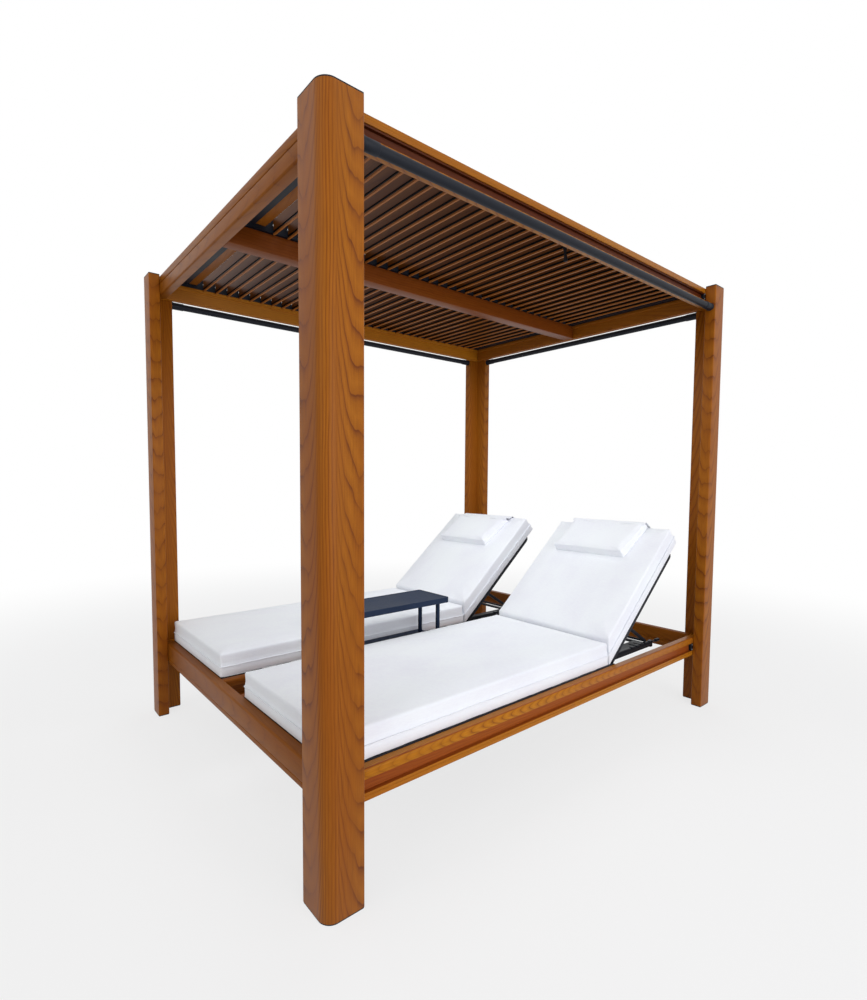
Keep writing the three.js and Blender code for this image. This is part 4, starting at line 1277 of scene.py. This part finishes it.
coverCloth = {
    "steps": 20, "quality": 6, "mass": 0.35, "stretch": 25, "bending": 1.2,
    "underside": 0.002, "seamHeld": 0.001,  # how near the underside and the seam the cloth is held
}
padGrid = {"uprightCell": 0.7, "seamRows": 0.005, "edgeRows": (0, 0.3, 0.65), "nearest": 0.45}
needlework = {
    "endReach": 0.016,  # how far from an end or a side the cloth is drawn in
    "underShare": 0.7,  # how much of that is left below the seam
    "seamDepth": 0.0014,
    "seamReach": 0.005,
    "pucker": 0.0011,
    "puckerReach": 0.014,
    "puckers": (38, 38),  # waves for each metre of length and width
    "finePuckers": (90, 90),
    "fineShare": 0.6,
    "wave": 0.0012,
    "waves": (3.1, 4.3),
    "edgeWaves": (17, 17),
    "weltWave": 0.0016,
    "weltWaves": (24, 24),
    "weltInset": 0.0008,
    "weltCell": 0.01,
}
farPillowDrop = 0.042  # the far pillow hangs lower on its back


def gridLines(low, high, edge, cell, *extra):
    steps = max(2, round((high - low - 2 * edge) / cell))
    inner = [low + edge + (high - low - 2 * edge) * i / steps for i in range(steps + 1)]
    for level in extra:
        inner = [place for place in inner if abs(place - level) > cell * padGrid["nearest"]] + [level]
    ends = [share * edge for share in padGrid["edgeRows"]]
    return sorted([low + e for e in ends] + inner + [high - e for e in ends])


def padStart(name, pad):
    # a block with round edges, a little smaller than the finished pad, on a grid that is close at its edges
    swell, edge, under, cell = pad["swell"], pad["round"], pad["under"], pad["cell"]
    low = Vector((pad["from"] + swell, swell - pad["half"], pad["low"]))
    high = Vector((pad["to"] - swell, pad["half"] - swell, pad["low"] + pad["height"] - swell))
    seam, rows = pad["low"] + pad["seam"], padGrid["seamRows"]
    lines = [
        gridLines(low.x, high.x, edge, cell),
        gridLines(low.y, high.y, edge, cell),
        gridLines(low.z, high.z, edge, cell * padGrid["uprightCell"], seam - rows, seam + rows, seam),
    ]
    last = [len(row) - 1 for row in lines]
    verts, faces, found = [], [], {}

    def corner(*key):
        if key not in found:
            found[key] = len(verts)
            point = Vector([lines[axis][key[axis]] for axis in range(3)])
            share = min(1.0, max(0.0, (point.z - seam) / edge + 0.5))
            radius = under + (edge - under) * share
            core = Vector([min(max(point[a], low[a] + radius), high[a] - radius) for a in range(3)])
            verts.append(core + (point - core).normalized() * radius)
        return found[key]

    for axis in range(3):
        a, b = [other for other in range(3) if other != axis]
        for level in (0, last[axis]):
            for i in range(last[a]):
                for j in range(last[b]):
                    ring = []
                    for di, dj in ((0, 0), (1, 0), (1, 1), (0, 1)):
                        key = [0, 0, 0]
                        key[axis], key[a], key[b] = level, i + di, j + dj
                        ring.append(corner(*key))
                    faces.append(ring)
    return makePiece(name, [(verts, faces)], whiteCloth)


def puff(piece, pad):
    start = [vert.co.copy() for vert in piece.data.vertices]
    cloth, seam = coverCloth, pad["low"] + pad["seam"]
    sewn = piece.vertex_groups.new(name="sewn")
    held = [index for index, place in enumerate(start)
            if place.z < pad["low"] + cloth["underside"] or abs(place.z - seam) < cloth["seamHeld"]]
    sewn.add(held, 1.0, "REPLACE")
    cover = piece.modifiers.new("cover", "CLOTH")
    settings = cover.settings
    settings.quality = cloth["quality"]
    settings.mass = cloth["mass"]
    settings.tension_stiffness = settings.compression_stiffness = cloth["stretch"]
    settings.bending_stiffness = cloth["bending"]
    settings.use_pressure = True
    settings.uniform_pressure_force = pad["pressure"]
    settings.vertex_group_mass = "sewn"
    settings.effector_weights.gravity = 0
    cover.point_cache.frame_start = 1
    cover.point_cache.frame_end = cloth["steps"]
    for step in range(cloth["steps"]):
        scene.frame_set(step + 1)
    bake(piece)
    scene.frame_set(1)
    piece.vertex_groups.clear()
    for vert, before in zip(piece.data.vertices, start):
        move = vert.co - before
        if move.length > pad["reach"]:
            vert.co = before + move.normalized() * pad["reach"]


def refine(piece):
    fine = piece.modifiers.new("fine", "SUBSURF")
    fine.levels = fine.render_levels = 1
    bake(piece)
    piece.data.shade_smooth()


def waviness(x, y, scale, layer):
    return noise.noise(Vector((x * scale[0], y * scale[1], layer)))


def dress(piece, pad, seed):
    # crowns the top, draws the upright corners and the seam in, and puckers the cloth along the seam
    sew, half = needlework, pad["half"]
    middleX, halfX = (pad["from"] + pad["to"]) / 2, (pad["to"] - pad["from"]) / 2
    seam = pad["low"] + pad["seam"]
    for vert in piece.data.vertices:
        x, y, z = vert.co
        u, v = (x - middleX) / halfX, y / half
        rise = min(1.0, max(0.0, (z - seam) / (pad["height"] - pad["seam"])))
        fall = min(1.0, max(0.0, (seam - z) / pad["seam"]))
        onEnd = math.exp(-(halfX * (1 - abs(u)) / sew["endReach"]) ** 2)
        onSide = math.exp(-(half * (1 - abs(v)) / sew["endReach"]) ** 2)
        ripple = waviness(x, y, sew["puckers"], seed)
        ripple += sew["fineShare"] * waviness(x, y, sew["finePuckers"], seed)
        drawn = math.sin(math.pi * rise) + sew["underShare"] * math.sin(math.pi * fall)
        inward = pad["waist"] * onEnd * onSide * drawn
        inward += sew["seamDepth"] * math.exp(-((z - seam) / sew["seamReach"]) ** 2)
        inward += sew["pucker"] * ripple * math.exp(-abs(z - seam) / sew["puckerReach"])
        vert.co.x -= math.copysign(inward * onEnd, u) + pad["lean"] * rise * max(0.0, -u) ** 8
        vert.co.y -= math.copysign(inward * onSide, v)
        wave = waviness(x, y, sew["waves"], seed + 5)
        edgeWave = waviness(x, y, sew["edgeWaves"], seed + 9) * max(onEnd, onSide)
        crown = pad["crown"] * max(0.0, (1 - u ** 4) * (1 - v ** 4))
        vert.co.z += rise * (crown + sew["wave"] * (wave + edgeWave))


def slantEnd(mesh, pad):
    for vert in mesh.vertices:
        share = max(0.0, 1 - (vert.co.x - pad["from"]) / pad["slantReach"])
        rise = (vert.co.z - pad["low"]) / pad["height"]
        vert.co.x += pad["slant"] * share * rise - pad["slantHeel"] * share * (1 - rise)


def wedge(mesh, pad):
    # the pillow thins towards its top edge, and its low edge is shifted to one side
    for vert in mesh.vertices:
        share = (vert.co.x - pad["from"]) / (pad["to"] - pad["from"])
        vert.co.z = pad["low"] + (vert.co.z - pad["low"]) * (1 - pad["topThin"] * share)
        vert.co.y = vert.co.y * (1 + pad["topWider"] / pad["half"] * share) + pad["skew"] * (1 - share)


def puffedPad(kind, pad, seed):
    piece = padStart(f"{kind}PadMaster", pad)
    puff(piece, pad)
    refine(piece)
    dress(piece, pad, seed)
    print(f"{kind} pad puffed")
    return piece


def weltRing(name, pad):
    sew, level = needlework, pad["low"] + pad["seam"]
    x0, x1, y = pad["from"] + sew["weltInset"], pad["to"] - sew["weltInset"], pad["half"] - sew["weltInset"]
    loop = roundedBox(x0, -y, x1, y, pad["round"], 10)
    dense = []
    for i, point in enumerate(loop):
        after = loop[(i + 1) % len(loop)]
        pieces = max(1, round((after - point).length / sew["weltCell"]))
        dense += [point.lerp(after, k / pieces) for k in range(pieces)]
    waves = [sew["weltWave"] * waviness(*p, sew["weltWaves"], 1.5) for p in dense]
    verts = [(p.x, p.y, level + wave) for p, wave in zip(dense, waves)]
    edges = [(i, (i + 1) % len(verts)) for i in range(len(verts))]
    return grow(name, weltTree, {"Radius": pad["welt"], "Paint": whiteCloth}, verts, edges)


def copyPiece(piece, name, place):
    twin = newObject(name, piece.data.copy())
    twin.data.transform(place)
    if place.determinant() < 0:
        twin.data.flip_normals()
    return twin


def settleOnBack(piece, side):
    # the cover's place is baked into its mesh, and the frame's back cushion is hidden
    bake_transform(piece)
    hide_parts(f"back_cushion_{side}")


def makePads():
    seat = puffedPad("seat", seatPad, 2.0)
    rest = puffedPad("back", backPad, 7.0)
    slantEnd(rest.data, backPad)
    head = puffedPad("head", headPad, 4.0)
    wedge(head.data, headPad)
    seatWelt = weltRing("seatWeltMaster", seatPad)
    backWelt = weltRing("backWeltMaster", backPad)
    slantEnd(backWelt.data, backPad)
    mirror = {"near": Matrix.Identity(4), "far": Matrix.Scale(-1, 4, (0, 1, 0))}
    lower = {"near": Matrix.Identity(4), "far": Matrix.Translation((-farPillowDrop, 0, 0))}
    for side in sides:
        bay = Matrix.Translation((0, bayCentre[side], 0)) @ mirror[side]
        leaning = backPlace[side] @ mirror[side]
        pad = copyPiece(seat, f"seat_cushion_{side}_cover", bay)
        settle(pad, "frame", f"seat_cushion_{side}")
        welt = copyPiece(seatWelt, f"seat_cushion_{side}_welt", bay)
        settle(welt, "frame", f"seat_cushion_{side}")
        pad = copyPiece(rest, f"back_cushion_{side}_cover", leaning)
        settleOnBack(pad, side)
        settleOnBack(copyPiece(backWelt, f"back_cushion_{side}_welt", leaning), side)
        pillow = copyPiece(head, f"head_pillow_{side}_cover", backPlace[side] @ lower[side])
        settle(pillow, f"back_{side}", f"back_cushion_{side}")
        makeFlap(side)
    for master in (seat, rest, head, seatWelt, backWelt):
        bpy.data.objects.remove(master)


flapSize = {
    "half": 0.217, "thickness": 0.0016, "columns": 26, "sag": 0.0012, "flatRows": 4,
    "near": [(0.768, 0.1535), (0.787, 0.1518), (0.795, 0.1455), (0.7965, 0.134), (0.7985, 0.1235),
             (0.8035, 0.116), (0.8055, 0.104), (0.8055, 0.085), (0.8055, 0.06), (0.8055, 0.035),
             (0.8045, 0.016)],
    "far": [(0.727, 0.1535), (0.745, 0.1505), (0.757, 0.136), (0.768, 0.1235), (0.785, 0.1205),
            (0.799, 0.1165), (0.8055, 0.103), (0.8055, 0.06), (0.8045, 0.016)],
}


def makeFlap(side):
    # the cloth flap that holds the pillow: over the top end of the back cushion and down behind it
    path, columns, half = flapSize[side], flapSize["columns"], flapSize["half"]
    verts, faces = [], []
    for i, (s, n) in enumerate(path):
        for k in range(columns + 1):
            share = k / columns * 2 - 1
            sag = flapSize["sag"] * math.sin(9 * share + i) * (1 - share ** 4)
            verts.append((s, share * half, n + (sag if i < len(path) - flapSize["flatRows"] else 0)))
    for i in range(len(path) - 1):
        for k in range(columns):
            a = i * (columns + 1) + k
            faces.append((a, a + 1, a + columns + 2, a + columns + 1))
    mesh = bpy.data.meshes.new(f"head_pillow_{side}_flap")
    mesh.from_pydata(verts, [], faces)
    mesh.transform(backPlace[side])
    mesh.materials.append(whiteCloth)
    flap = newObject(f"head_pillow_{side}_flap", mesh)
    wall = flap.modifiers.new("wall", "SOLIDIFY")
    wall.thickness = flapSize["thickness"]
    wall.offset = 0
    refine(flap)
    settle(flap, f"back_{side}", f"back_cushion_{side}")


makePads()
print("cushions made")


# table on the two inner rails

tableSize = {
    "slab": 0.027, "corner": 0.01, "rim": 0.009, "panelDrop": 0.0015, "leg": 0.016, "legEnd": 0.026,
    "legSide": 0.039, "topEdge": 0.0012, "baseEdge": 0.0025, "legEdge": 0.002, "innerCorner": 0.6,
}


def makeTable():
    size = tableSize
    low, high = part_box("side_table")
    thick, leg = size["slab"], size["leg"]

    def slab(inset, zLow, zHigh):
        points = roundedBox(low.x + inset, low.y + inset, high.x - inset, high.y - inset,
                            size["corner"] - inset * size["innerCorner"], 8)
        return prismParts(points, 2, zLow, zHigh)

    top = makePiece("side_table_top", [slab(0, high.z - thick, high.z)], slatePaint)
    cutOut(top, [slab(size["rim"], high.z - size["panelDrop"], high.z + 0.01)])
    roundEdges(top, size["topEdge"], 3)
    settle(top, "table", "side_table")
    base = [slab(0, low.z, low.z + thick)]
    addPiece("side_table_base", base, slatePaint, "table", "side_table", bevel=size["baseEdge"])
    legs = []
    reach = (high.y - low.y) / 2 - size["legSide"]
    for x in (low.x + size["legEnd"], high.x - size["legEnd"] - leg):
        for y in (-reach, reach - leg):
            legs.append(boxParts((x, y, low.z + thick), (x + leg, y + leg, high.z - thick)))
    addPiece("side_table_legs", legs, slatePaint, "table", "side_table", bevel=size["legEdge"])


makeTable()
print("table made")


# screws that hold the end brackets

screwSize = {"radius": 0.0032, "depth": 0.0016, "offset": 0.012, "sunk": 0.0002}


def makeScrews():
    places, facing = [], []
    for kind, _, _, sign, up, _, face, band in members("near", "far"):
        height = railSize["height"][kind]
        level = band + up * (railSize["bandHeight"] + height - railSize["lipHeight"]) / 2
        for end in (-1, 1):
            x = end * (footprintX - postSize["arm"] - bracketSize["length"] / 2)
            for offset in (-screwSize["offset"], screwSize["offset"]):
                places.append((x, face - sign * screwSize["sunk"], level + offset))
                facing.append((0, sign, 0))
    values = {"Radius": screwSize["radius"], "Depth": screwSize["depth"], "Paint": steelScrew}
    settle(grow("bracket_screws", screwTree, values, places, facing=facing), "frame")


makeScrews()
print("screws made")
